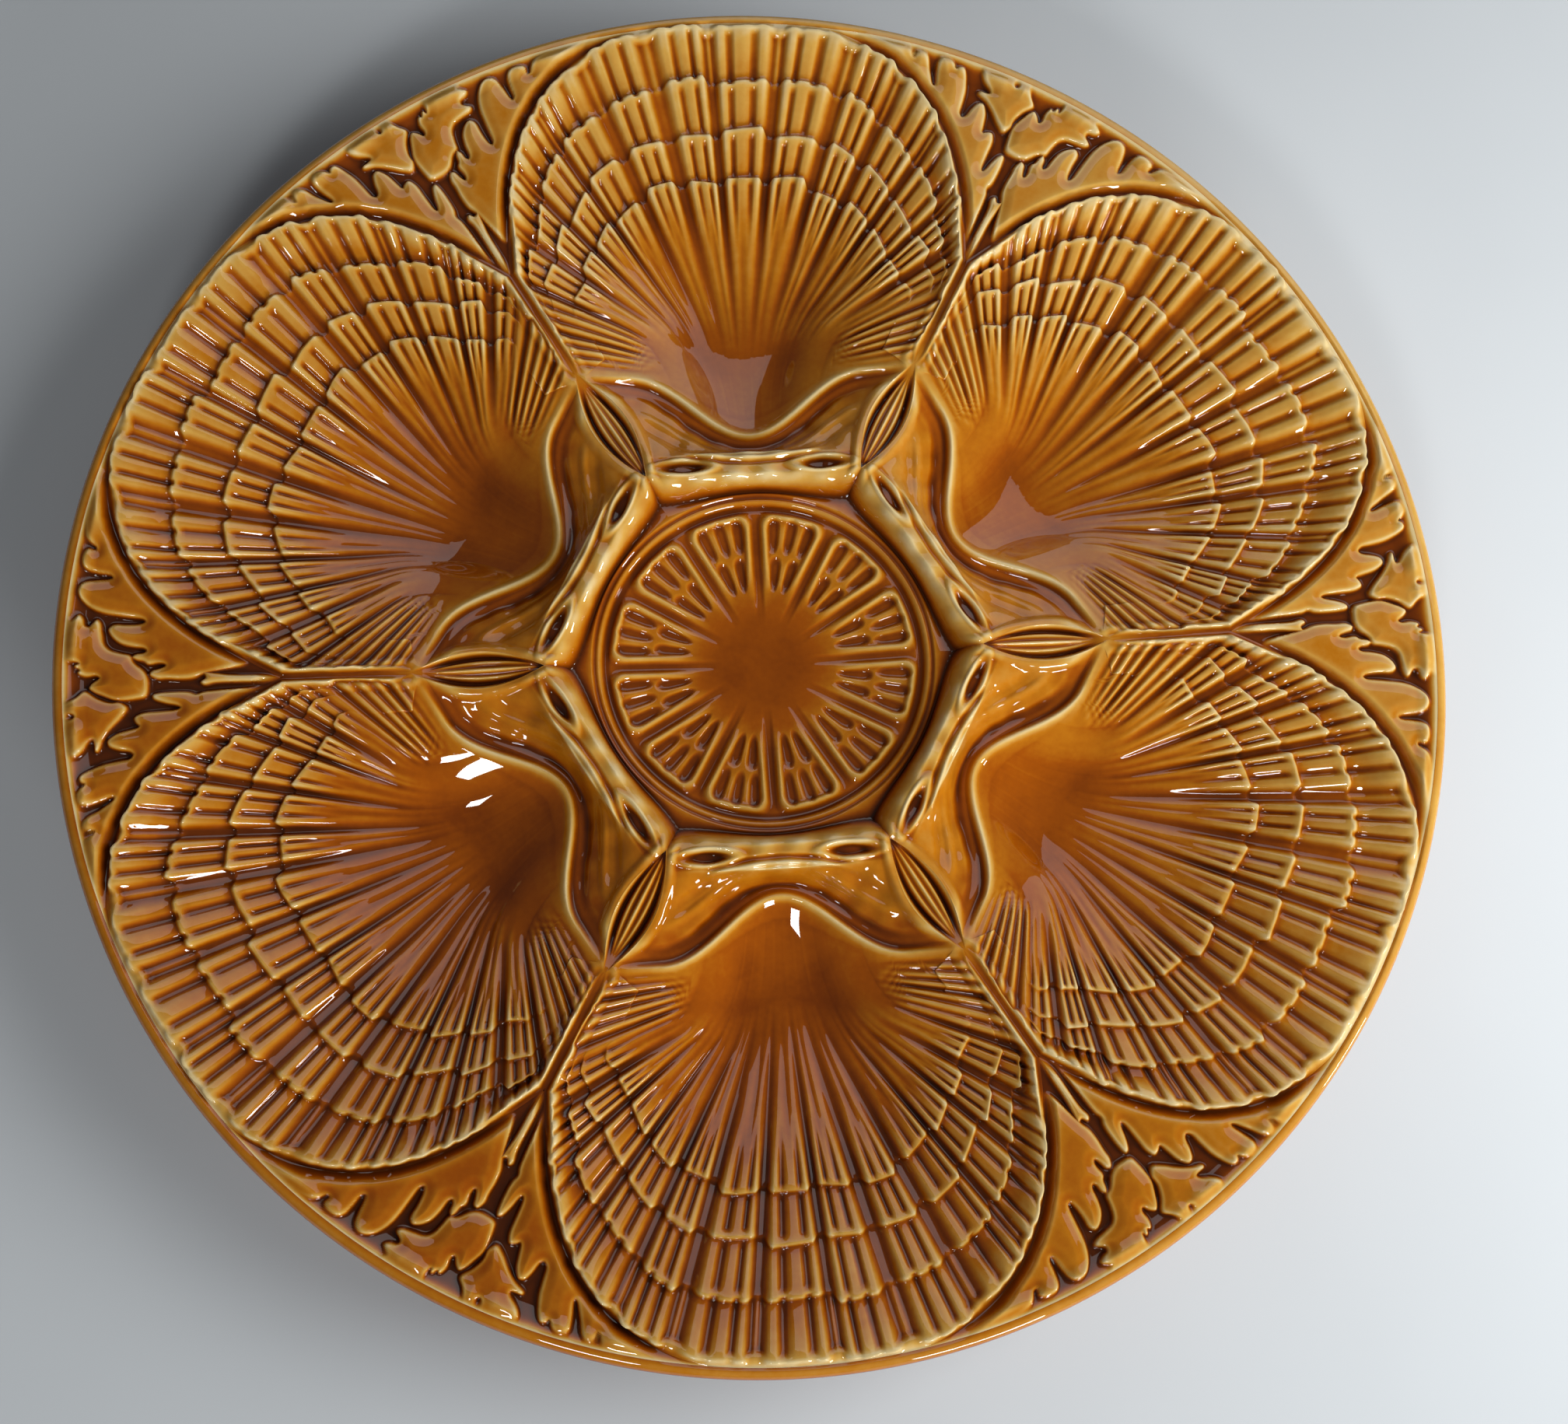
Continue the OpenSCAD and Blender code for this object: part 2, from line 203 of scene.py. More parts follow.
def budTop():
    v = np.linspace(0, 1, bud["rows"])[:, None]
    c = np.sin(np.pi / 2 * np.linspace(-1, 1, bud["columns"]))[None, :]
    x = c * budHalf(v)
    y = bud["rootR"] + v * bud["length"] + 0 * c
    hollow = bud["hollow"] * np.sin(np.pi * v) ** 0.5 * fade(*bud["hollowEnd"], v)
    hollow = hollow * ease(*bud["hollowSide"], np.abs(c))
    slim = np.sin(np.pi * np.clip(v / bud["spindle"], 0.001, 0.999))
    q = x / (bud["spindleHalf"] * slim ** 0.8)
    body = bud["rise"] * slim ** 0.6 * np.sqrt(np.maximum(0, 1 - q * q))
    strands = bud["strandHeight"] * np.cos(np.pi * bud["strands"] * q) * fade(*bud["strandFade"], np.abs(q))
    spindle = (body + strands * slim) * ease(*bud["spindleRoot"], v) * fade(*bud["spindleTip"], v)
    return np.stack([x, y, budSideZ(v) - hollow + spindle], axis=-1)


# Shell well: a ribbed scallop with three growth rings and a curled hinge
shell = {
    "halfWidth": 42.5,
    "tip": 40.4,  # from the widest line to the outer end
    "heel": 50.5,  # and to where the lower half would close
    "square": 2.5,  # power of the oval
    "centre": 80.4,
    "pitch": 10.7,  # degrees from rib to rib
    "lean": 2.75,  # the ribs lie a little to one side of the axis
    "uneven": 0.05,  # how far the ribs stray, as a share of the pitch
    "strays": ((0.19, 1), (0.43, 2)),  # and the waves they stray by
    "fanY": 49,  # the middle ribs run together here
    "fanDrift": 6,  # and the outer ones further out
    "fanWide": 60,  # degrees at which the drift is full
    "floor": 9.5,
    "hingeY": 41.5,
    "hingeHeight": 17,
    "hingeShare": 0.88,  # where the hinge ends on the bud
    "hingeWave": 21.5,  # from the axis to where the hinge line levels out
    "hingeGroove": (1.19, 2.72),  # depth on the axis and at the ends
    "hingeSeam": 1.4,  # width of the groove's side in the well
    "hingeCurl": 0.3,  # height of the curl beside it
    "curlAt": (1.3, 1.3),  # place and reach
    "hingeRun": 16,  # reach of the wall at the hinge
    "wellRun": 64,  # and of the wall at the outer edge
    "bow": 0.38,  # share of its run over which a rib turns in to the hinge
    # each ring's share of a rib, what it gains at the sides and its least share
    "rings": ((0.613, 0.09, 0.3), (0.725, 0.098, 0.5), (0.855, 0.045, 0.7)),
    "ringBend": (22, 60, 72),  # degrees: no gain, full gain, last gain
    "ringFade": (58, 72),
    "ringGap": 0.35,  # share of a ring's height between two ribs
    "notch": 0.7,  # how far it steps in there
    "jog": 0.6,  # how far a rib's rings lie off their line
    "slant": 1.2,
    "lip": 0.5,  # how far a shingle's outer end stands up
    "lipFrom": 0.78,
    "dip": 0.5,  # and its inner end lies below
    "step": 0.1,  # share of a shingle that the drop takes
    "fringe": 0.9,  # width of the edge outside the ribs
    "fringeGap": 0.6,  # more of it between two ribs
    "fringeSlot": 0.25,  # and at the slots
    "slotWide": 0.1,
    "ragged": 0.3,
    "fringeMost": 0.1,  # as a share of the run
    "edge": 0.3,  # how far the rim stands above the land
    "edgeRise": (3.2, 3.9),
    "edgeRun": 20,  # shorter ribs have a lower rim
    "sideFrom": (50, 62),  # from here round, the ribs run into a rim
    "sideFall": (0.3, 1.35),  # width of its outer side
    "sideClear": (0.7, 2.2),  # the ribs start inside it
    "sideRim": 0.5,
    "sideRimAt": (1.9, 1.2),
    "sideRimGap": 0.6,  # it is lower between two ribs
    "strandFrom": (62, 74),  # from here round, the ribs are plain strands of one height
    "strand": 0.36,
    "strandClear": (1.2, 7),  # they start off the hinge
    "strandSide": (13, 23),  # and off the axis
    "ribFade": (85, 90),
    "ribRun": 9,  # shorter ribs are lower
    "poolAt": (4.1, 0.5),  # the glaze is thicker along the edge
    "pool": 0.1,
    "bareAt": (1.7, 1.5),  # and thinner on the hinge's curl
    "bare": 0.2,
    "middle": (0, 78),
}


def hingeEnds(s):
    # rises to 1 close to both ends of the hinge
    return np.abs(s) ** 8


def hingeLine(s):
    end = budSide(shell["hingeShare"])
    x = end[0] * mix(s ** 5, s, 0.45)
    q = np.minimum(1, np.abs(x) / shell["hingeWave"])
    return np.stack([x, mix(shell["hingeY"], end[1], (1 - np.cos(np.pi * q)) / 2)], axis=-1)


hingePoints = hingeLine(np.linspace(-1, 1, 700))


def hingeZ(s):
    return mix(shell["hingeHeight"], budSideZ(shell["hingeShare"]), hingeEnds(s))


def hingeSeamZ(s):
    return hingeZ(s) - mix(*shell["hingeGroove"], s * s) * (1 - hingeEnds(s))


def inShell(x, y):
    reach = np.where(y < shell["centre"], shell["heel"], shell["tip"])
    power = shell["square"]
    oval = (np.abs(x) / shell["halfWidth"]) ** power + (np.abs(y - shell["centre"]) / reach) ** power
    return (oval <= 1) & (np.hypot(x, y) <= bandR) & (np.abs(x) <= y * np.tan(np.radians(half)))


def fanCentre(a):
    return shell["fanY"] + shell["fanDrift"] * np.minimum(1, np.abs(a) / shell["fanWide"]) ** 1.5


def shellReach(a):
    # length of the rib line at angle a, out to the shell's edge
    way = polar(1.0, a)
    lo = np.zeros_like(a)
    hi = np.full_like(a, plate["radius"])
    for halving in range(50):
        m = (lo + hi) / 2
        inside = inShell(m * way[:, 0], fanCentre(a) + m * way[:, 1])
        lo = np.where(inside, m, lo)
        hi = np.where(inside, hi, m)
    return lo


shellEnd = polar(bud["tipR"], half)
fanMax = np.degrees(np.arctan2(shellEnd[0], shellEnd[1] - shell["fanY"] - shell["fanDrift"]))


def shellOutline():
    a = np.linspace(-fanMax, fanMax, 1100)[1:-1]
    return np.stack([0 * a, fanCentre(a)], axis=-1) + shellReach(a)[:, None] * polar(1.0, a)


# Ribs: across one of them places run from 0 to 1, and along it from 0 at the hinge over the rings to 5
rib = {
    "recess": 1.15,  # depth between two ribs
    "blockFrom": (0.04, 0.2),
    "blockTo": (0.8, 0.96),
    "start": (0.36, 1.02),
    "twinRise": 0.2,  # near the hinge a rib is a pair of strands
    "twinSplit": 0.4,
    "blocks": (0.7, 1),  # here it turns into blocks of three
    "strands": ((0.2, 0.5, 0.8), 0.14),  # places and reach
    "strandRise": 0.1,
    "slot": 0.6,  # depth of the slots between them
    "slots": ((0.345, 0.655), 0.085),
    "slotStart": (0.6, 1),
    "slotFrom": (0.04, 0.2),  # the slots end short of the rings
    "slotTo": (0.8, 0.95),
    "lastSlot": (3, 3.3),  # and are deeper past the last one
    "lastGain": 0.2,
    "finger": 0.4,  # where the gap between two ribs is shallower
    "fingers": ((0, 1), 0.08),
    "fingerFrom": (2.9, 3.15),
    "end": (3.86, 3.98),
    "endLoss": 0.85,
    "turns": (0.12, 0.29, 0.4, 0.6, 0.71, 0.88),  # where the profile turns
    "besideTurn": (-0.036, -0.012, 0.012, 0.036),  # mesh columns at each turn
    "between": (0, 0.03, 0.058, 0.942, 0.97, 0.19, 0.81, 0.345, 0.655, 0.225, 0.5, 0.775),
    "most": 10,  # on each side of the axis
}


def shellColumns():
    # angles of the mesh columns: close together where a rib's profile turns
    turns = [place + off for place in rib["turns"] for off in rib["besideTurn"]]
    phases = np.array(sorted(turns + list(rib["between"])))
    numbers = np.arange(-rib["most"], rib["most"] + 1)
    a = (shell["lean"] + shell["pitch"] * (numbers[:, None] + phases[None, :] - 0.5)).ravel()
    a = a[np.abs(a) < fanMax - 0.2]
    return np.concatenate([[-fanMax], a, [fanMax]])


def ribHeight(v, phase, gap):
    # twin strands near the hinge and blocks of three strands further out
    turn = np.cos(2 * np.pi * phase)
    valley = ((1 + turn) / 2) ** 2.5
    middle = ((1 - turn) / 2) ** 8
    twin = rib["twinRise"] - rib["recess"] * valley - rib["twinSplit"] * middle
    u = v - np.floor(v)
    cut = ease(*rib["slotFrom"], u) * fade(*rib["slotTo"], u)
    cut = np.where(v < 3, cut, 1 + rib["lastGain"] * ease(*rib["lastSlot"], v))
    cut = np.where(v < 1, ease(*rib["slotStart"], v), cut)
    slots = rib["slot"] * ridges(phase, *rib["slots"])
    crown = rib["strandRise"] * ridges(phase, *rib["strands"])
    fingers = rib["finger"] * ridges(phase, *rib["fingers"]) * ease(*rib["fingerFrom"], v)
    deep = rib["recess"] * gap * (1 - fingers)
    shape = mix(twin, crown - deep - slots * cut, ease(*rib["blocks"], v))
    return ease(*rib["start"], v) * shape * (1 - rib["endLoss"] * ease(*rib["end"], v))


def strandHeight(x, y, hubY):
    # at the sides, strands of one height that run straight out from the hub, three to a rib
    angle = np.degrees(np.arctan2(x, np.maximum(y - hubY, -8)))
    place = (angle - shell["lean"]) / shell["pitch"] + 0.5
    return -shell["strand"] * (np.cos(6 * np.pi * place) + ((1 + np.cos(2 * np.pi * place)) / 2) ** 2.5)


def ringHeight(v):
    # each shingle rises to a lip at its outer end and drops to the next one
    u = np.where(v < 4, v - np.floor(v - 1e-9), 1)
    stepped = shell["lip"] - (shell["lip"] + shell["dip"]) * (ease(0, shell["step"], u) - u ** 1.2)
    first = shell["lip"] * ease(shell["lipFrom"], 1, v)
    return np.where(v <= 1, first, np.where(v < 4, stepped, shell["lip"]))


# rows: close together at the hinge, at the rings' steps and at the edge
innerRows = spread((0, 0.1, 14), (0.1, 0.9, 28), (0.9, 1, 6))
ringRows = np.array([0.025, 0.05, 0.08, 0.13, 0.22, 0.34, 0.46, 0.58, 0.7, 0.8, 0.87, 0.92, 0.96, 1])
edgeRows = spread((0.15, 1, 7))
shellRows = np.concatenate([innerRows, 1 + ringRows, 2 + ringRows, 3 + ringRows, 4 + edgeRows])[:, None]


def shellTop():
    a = shellColumns()
    s = a / fanMax
    off = np.abs(a)
    place = (a - shell["lean"]) / shell["pitch"] + 0.5
    place = place + shell["uneven"] * sum(np.sin(often * a + first) for often, first in shell["strays"])
    number = np.floor(place)
    phase = place - number
    block = ease(*rib["blockFrom"], phase) * fade(*rib["blockTo"], phase)
    gap = 1 - block
    side = ease(*shell["sideFrom"], off)
    way = polar(1.0, a)
    hub = np.stack([0 * a, fanCentre(a)], axis=-1)
    reach = shellReach(a)
    reach[[0, -1]] = np.hypot(shellEnd[0], shellEnd[1] - fanCentre(a[-1]))
    hinge = hingeLine(s)
    start = ((hinge - hub) * way).sum(-1)
    shift = hinge - hub - start[:, None] * way
    run = reach - start

    # places of the rings along each rib, as shares of its run; sines of its number stand for chance
    noGain, fullGain, lastGain = shell["ringBend"]
    wide = np.maximum(0, (np.minimum(off, lastGain) - noGain) / (fullGain - noGain)) ** 2
    marks = [np.zeros_like(a)]
    for k, (base, gain, least) in enumerate(shell["rings"]):
        jog = shell["jog"] * np.sin(2.4 * number + 1.9 * k)
        jog = jog + shell["slant"] * np.sin(1.3 * number + k) * (phase - 0.5)
        mark = (base + gain * wide) * reach - shell["notch"] * gap + jog * block
        marks.append(np.maximum((mark - start) / run, least))
    slots = ridges(phase, rib["slots"][0], shell["slotWide"])
    ragged = np.sin(1.7 * number + 0.6) * block + np.sin(0.31 * a) * np.sin(0.83 * a + 1)
    fringe = shell["fringe"] + shell["fringeGap"] * gap + shell["fringeSlot"] * slots
    fringe = fringe + shell["ragged"] * ragged
    marks.append(1 - np.minimum(shell["fringeMost"], fringe / run))
    marks.append(np.ones_like(a))
    marks = np.array(marks)

    v = shellRows
    t = np.array([np.interp(v[:, 0], np.arange(len(marks)), marks[:, j]) for j in range(len(a))]).T
    bow = np.clip(1 - t / shell["bow"], 0, 1) ** 2
    along = start + t * run
    x = hub[:, 0] + along * way[:, 0] + bow * shift[:, 0]
    y = hub[:, 1] + along * way[:, 1] + bow * shift[:, 1]

    # the outermost columns follow the bud's side
    atBud = np.abs(s) ** 40
    share = mix(shell["hingeShare"], 1, t)
    budEdge = budSide(share)
    x = mix(x, np.sign(s) * budEdge[..., 0], atBud)
    y = mix(y, budEdge[..., 1], atBud)

    # the well itself, between the wall at the hinge and the one at the outer edge
    toHinge = np.full(x.shape, far)
    toWall = np.full(x.shape, far)
    low = len(innerRows)
    toHinge[:low] = gapTo(x[:low], y[:low], hingePoints)
    toWall[:low] = softGapTo(x[:low], y[:low], hingeLine(np.linspace(-1, 1, 240)))
    edgeGroove = grooveAt(np.degrees(np.arctan2(x[-1], y[-1])))
    edgeZ = land(np.hypot(x[-1], y[-1])) - edgeGroove
    rising = np.clip(1 - toWall / shell["hingeRun"], 0, 1)
    inside = mix(swell(rising), rising ** 1.8, 0.6)
    outside = swell(1 - (1 - t) * run / shell["wellRun"])
    inner = inside * (1 - t)
    outer = outside * t
    wall = (hingeZ(s) * inner + edgeZ * outer) / np.maximum(1e-6, inner + outer)
    z = mix(shell["floor"], wall, 1 - (1 - inside) * (1 - outside))

    # ribs and rings, which the sides' plain rim cuts off
    toEdge = np.full(x.shape, far)
    flank = off > shell["sideFrom"][0] - 2
    toEdge[:, flank] = gapTo(x[:, flank], y[:, flank], shellOutline())
    shown = mix(1, ease(*shell["sideClear"], toEdge), side)
    shown = shown * np.minimum(1, run / shell["ribRun"]) * fade(*shell["ribFade"], off)
    strands = strandHeight(x, y, hub[:, 1]) * ease(*shell["strandClear"], toHinge)
    strands = strands * ease(*shell["strandSide"], np.abs(x))
    ribs = mix(ribHeight(v, phase, gap), strands, ease(*shell["strandFrom"], off))
    rings = ringHeight(v) * fade(*shell["ringFade"], off) * (block + shell["ringGap"] * gap)
    rise = (edgeGroove + shell["edge"]) * ease(*shell["edgeRise"], v) * np.minimum(1, run / shell["edgeRun"])
    sideRim = side * shell["sideRim"] * (1 - shell["sideRimGap"] * gap)
    z = z + (ribs + rings) * shown + rise + sideRim * ridge(toEdge, *shell["sideRimAt"])

    # the edge falls into the groove, and the hinge curls up beside its own groove
    z = mix(z, edgeZ, np.maximum(ease(4, 5, v), side * fade(*shell["sideFall"], toEdge)))
    z = z + shell["hingeCurl"] * ridge(toHinge, *shell["curlAt"]) * (1 - hingeEnds(s))
    z = mix(hingeSeamZ(s), z, ease(0, shell["hingeSeam"], toHinge))
    z = mix(z, budSideZ(share), atBud)
    return np.stack([x, y, z], axis=-1)


def shellGlaze(top, thick):
    toHinge = gapTo(top[..., 0], top[..., 1], hingePoints)
    thick = thick + shell["pool"] * ridge(shellRows, *shell["poolAt"])
    return thick - shell["bare"] * ridge(toHinge, *shell["bareAt"])


# Collar: the raised hexagon round the lemon, with eyelets on its crest and the slope to the hinge
collar = {
    "crestY": 34,
    "width": 4.2,
    "fall": 0.7,
    "budShare": 0.15,  # where the outer side of the crest meets the bud
    "dishEdge": 16.9,
    "cornerGroove": 0.35,
    "grooveShare": (0.16, 0.42),  # its share of the inner side, on the axis and at the corners
    "foot": 15.2,  # height where the slope meets the hinge's groove
    "footSeam": 2,  # width of that groove's side
    "eyeX": 12.6,
    "eyeY": 35.6,
    "eyeLong": 4.5,
    "eyeWide": 1.25,
    "eyeDepth": 1.3,
    "eyeFlank": (0.45, 1),
    "eyeRim": 0.4,
    "brow": 0.4,  # height of the ledge between the eyelets
    "browY": 37.2,
    "browBow": 0.0105,
    "browTo": (10, 14),
    "ripple": 0.5,
    "rippleFrom": (4, 9),  # from the axis
    "rippleTo": (17, 22),
    "rippleAt": (3.4, 5.6),  # a crest and a trough, from the hinge
    "rippleOpen": 0.11,
    "budRidge": 0.5,
    "hingeDip": 0.6,  # a dip beside the hinge's own groove
    "dipAt": (1.5, 1.5),
    "lump": 0.2,  # unevenness of the modelling
    "glaze": -0.22,  # thin and even on the slope
    "glazeEven": 0.85,
    "glazeFrom": (1.95, 2.1),
    "glazeTo": (2.55, 2.8),
    "middle": (0, 37.5),
    "columns": 201,
}


# rows: the inner side up to 1, the crest up to 2 and the slope up to 3
collarRows = spread((0, 1, 27), (1, 2, 27), (2, 2.85, 46), (2.85, 3, 13))[:, None]


def collarTop():
    u = np.linspace(-1, 1, collar["columns"])
    s = 1.5 * u - 0.5 * u ** 3
    ends = hingeEnds(s)
    tan = np.tan(np.radians(half))
    dish = polar(lemon["radius"], s * half)
    crest = np.stack([s * collar["crestY"] * tan, collar["crestY"] + 0 * s], axis=-1)
    out = budSide(collar["budShare"])
    line = np.stack([s * out[0], mix(collar["crestY"] + collar["width"], out[1], s * s)], axis=-1)
    hinge = hingeLine(s)
    endHinge = budSide(shell["hingeShare"])

    k = collarRows
    climb = np.clip(k, 0, 1)
    over = np.clip(k - 1, 0, 1)
    down = np.clip(k - 2, 0, 1)
    share = np.where(k < 2, collar["budShare"] * over, mix(collar["budShare"], shell["hingeShare"], down))
    pull = budSide(share[:, 0]) - mix(mix(budSide(0), out, over), endHinge, down)
    places = []
    for axis in (0, 1):
        turn = np.sign(s) if axis == 0 else 1
        rows = mix(dish[:, axis], crest[:, axis], climb)
        rows = mix(mix(rows, line[:, axis], over), hinge[:, axis], down)
        places.append(rows + ends * turn * pull[:, axis][:, None])
    x, y = places

    # heights from the dish over the crest and down the slope
    groove = mix(*collar["grooveShare"], np.abs(s) ** 3)
    up = np.clip((climb - groove) / (1 - groove), 0, 1)
    low = collar["dishEdge"] - collar["cornerGroove"] * ease(0, 1, np.clip(climb / groove, 0, 1))
    inner = mix(low, collarHeight, 1 - (1 - up) ** 1.9)
    top = collarHeight - collar["fall"] * over
    slope = mix(collarHeight - collar["fall"], collar["foot"], 1 - (1 - down) ** 1.7)
    z = np.where(k <= 1, inner, np.where(k <= 2, top, slope))
    z = np.where(k > 1, mix(z, budSideZ(share), ends), z)

    # eyelets, each with a raised rim, and a ledge between them
    ax = np.abs(x)
    ring = np.hypot((ax - collar["eyeX"]) / collar["eyeLong"], (y - collar["eyeY"]) / collar["eyeWide"])
    z = z - collar["eyeDepth"] * fade(*collar["eyeFlank"], ring) + collar["eyeRim"] * ridge(ring, 1.25, 0.4)
    ledge = collar["browY"] + collar["browBow"] * ax ** 2
    brow = collar["brow"] * (ridge(y, ledge, 0.6) - 1.1 * ridge(y, ledge - 1.1, 0.7))
    z = z + fade(*collar["browTo"], ax) * brow
    lumps = np.sin(0.55 * x + 1.2) * np.sin(0.9 * y + 0.35 * x) + 0.7 * np.sin(1.1 * x - 0.6 * y + 0.5)
    z = z + collar["lump"] * lumps * ease(0.35, 0.8, climb) * (1 - ends) * fade(0.7, 1, down)

    # ripples on the slope, a ridge along the bud and a dip along the hinge
    away = gapTo(x, y, hingePoints)
    band = ease(*collar["rippleFrom"], ax) * fade(*collar["rippleTo"], ax) * ease(0, 0.3, down)
    crestAt, troughAt = [place + collar["rippleOpen"] * ax for place in collar["rippleAt"]]
    z = z + collar["ripple"] * band * (ridge(away, crestAt, 1.1) - 0.7 * ridge(away, troughAt, 1.2))
    corner = polar(np.linspace(lemon["radius"], bud["rootR"], 40), half + np.zeros(40))
    beside = gapTo(ax, y, np.concatenate([corner, budSide(np.linspace(0, 1, 120))]))
    z = z + collar["budRidge"] * ridge(beside, 0.9, 1.2) * ease(0.6, 1.1, k) * fade(0.75, 1, down)
    z = z - collar["hingeDip"] * ridge(away, *collar["dipAt"]) * ease(2.1, 2.4, k) * (1 - ends)
    z = np.where(k > 2, mix(hingeSeamZ(s), z, ease(0, collar["footSeam"], away)), z)
    return np.stack([x, y, z], axis=-1)


def collarGlaze(top, thick):
    slope = ease(*collar["glazeFrom"], collarRows) * fade(*collar["glazeTo"], collarRows)
    return mix(thick, collar["glaze"], collar["glazeEven"] * slope)


# Seaweed: two fronds, a palm in two halves and a stem between two shells, each with its outline
weed = {
    "rise": 0.3,
    "ground": 1.25,  # depth between the fronds
    "swell": 0.3,  # share of its height that a frond gains inwards
    "flank": (-0.6, 0.3),  # the frond's sides, across its outline
    "dome": (-0.3, 2.4),
    "squeeze": (113, 121, 0.8),  # between these distances out, the outlines are drawn in
    "groundFade": (0, 4),  # from the rim
    "leafFade": (0, 2.2),
    "bank": (0, 2),  # from the shells' edges
    "rows": ((94, 42), (bandR, 108)),  # (radius, count) from the shells' corner outwards
    "columns": 311,
    "groundPool": 0.6,  # the glaze is thicker on the ground
    "groundEdge": (0, -0.6),
    "leafPool": 0.16,  # and in the middle of a leaf
    "leafEdge": (0.4, 1.3),
    "bare": 0.25,  # and thinner along its edge
    "bareAt": (0.3, 0.5),
    "toneFade": (0.3, 2),  # from the rim
    "rimPool": 0.45,
    "rimEdge": (3.5, 0.5),
    "middle": (0, 113),
}
leftFrond = (
    (-1.3, 80), (-1.9, 90), (-2.2, 97.4), (-2.8, 98.8), (-2.2, 100.2), (-2.2, 103.6), (-2.5, 105.9),
    (-3.3, 105.7), (-4, 104), (-4.5, 102), (-5, 101.3), (-5.4, 102.2), (-5.6, 105), (-5.7, 107.4),
    (-6.4, 108.9), (-7.4, 108.6), (-8.2, 107.9), (-8.7, 109.6), (-9.2, 111.6), (-10.3, 113.2),
    (-11.4, 112.9), (-12, 111.3), (-12.3, 109.6), (-13, 108.9), (-13.8, 109.6), (-14.1, 111.5),
    (-14.6, 114), (-15.6, 116.5), (-16.6, 117.9), (-17.5, 117.6), (-18, 116.7), (-18.6, 117.7),
    (-19.8, 118.4), (-21.2, 117.9), (-21.5, 116.6), (-20.9, 114.3), (-20.2, 112.6), (-20.3, 111.9),
    (-20.9, 112.3), (-22.3, 114.2), (-23.6, 116.4), (-24.6, 117.4), (-25.6, 117.1), (-25.9, 116.2),
    (-26, 114.9), (-26.5, 115.2), (-27.3, 117), (-28.2, 118.1), (-30.5, 118.1), (-34, 117.2),
    (-40, 115.5), (-46, 113), (-46, 107), (-30, 107), (-20, 103), (-10, 96), (-4.5, 87), (-3.4, 80),
)
rightFrond = (
    (0.9, 97.6), (0.2, 99.3), (0.1, 101.5), (0.3, 103.6), (0.2, 105), (0.8, 106.4), (1.6, 106.1),
    (1.9, 104.9), (2.3, 103.9), (2.7, 103.8), (3, 104.8), (2.7, 106.6), (3.4, 107.3), (3.6, 108.6),
    (4.1, 109.3), (4.6, 108.6), (4.7, 107.3), (5.2, 106.8), (5.7, 107.4), (6, 109.3), (6.6, 111.2),
    (7.8, 112.5), (9.1, 113.1), (9.9, 112.2), (9.7, 110), (9.8, 107.9), (10.3, 106.9), (10.9, 107.6),
    (11.3, 110.2), (11.9, 113.6), (12.9, 116.2), (14.4, 117.8), (15.9, 118.3), (17.2, 117.5),
    (17.7, 115.6), (17.8, 113), (18.2, 112.1), (18.7, 112.9), (19, 114.6), (19.5, 116.4), (20.4, 117.5),
    (22.3, 117.3), (23.3, 116.4), (23, 115.2), (23.5, 114.8), (24.4, 115.9), (25.4, 116.8), (26.8, 116.9),
    (31, 116.6), (36, 115.3), (42, 113.2), (46, 111), (46, 105), (34, 109), (20, 103), (10, 96), (4, 91),
    (2.5, 90),
)
palmLeft = (
    (-3.7, 111.2), (-4.8, 109.9), (-6.5, 111), (-8.5, 112.8), (-10.4, 114), (-12.1, 114.7),
    (-12.1, 115.2), (-11, 115.3), (-10.1, 115.6), (-10.5, 116.4), (-12.3, 117.6), (-13.1, 118.9),
    (-12.6, 119.8), (-11.7, 120.3), (-11.2, 122), (-7, 122.6), (-6.7, 121.4), (-6.8, 119.4),
    (-6.3, 118.8), (-5.7, 119.2), (-5.5, 121.2), (-4.6, 122), (-3.9, 120.6), (-3.2, 118.8), (-1.8, 117.5),
    (-1.9, 116.7), (-3, 115.2), (-3.6, 113.8), (-3.9, 112.6),
)
palmRight = (
    (-2.8, 106.8), (-3.2, 108.5), (-3.6, 111.7), (-2.6, 113.9), (-2, 115.4), (-1.2, 116.5), (-0.3, 115.7),
    (0.5, 114.4), (1, 115.2), (0.8, 117), (1.4, 118.4), (2, 117.9), (2.6, 119), (3.1, 118), (3.5, 119.2),
    (3.6, 121), (4.2, 121.5), (5, 122), (9, 122), (10.9, 120.7), (10.3, 119.5), (10.9, 118.8),
    (11.6, 118.1), (10.9, 117.5), (9.6, 117.2), (9.5, 116.3), (10.9, 115.1), (10.2, 114.4), (8.4, 114.2),
    (6.4, 113.9), (5.3, 112.9), (4.7, 111), (4.4, 109.4), (3, 109), (1.5, 107.2), (0, 106.6),
)
stem = (
    (-0.75, 76), (-0.65, 90), (-0.55, 95.5), (-1.1, 97.4), (-0.5, 98.1), (0.2, 97), (1.3, 97.7), (1, 96),
    (0.45, 93), (0.4, 88), (0.35, 76),
)
fronds = (leftFrond, rightFrond, palmLeft, palmRight, stem)


def rounded(outline):
    # corners cut three times, then points close together
    p = np.array(outline, float)
    for cutting in range(3):
        onward = np.roll(p, -1, axis=0)
        p = np.stack([mix(p, onward, 0.22), mix(p, onward, 0.78)], axis=1).reshape(-1, 2)
    onward = np.roll(p, -1, axis=0)
    return np.concatenate([mix(p, onward, f) for f in (0, 0.25, 0.5, 0.75)]), p


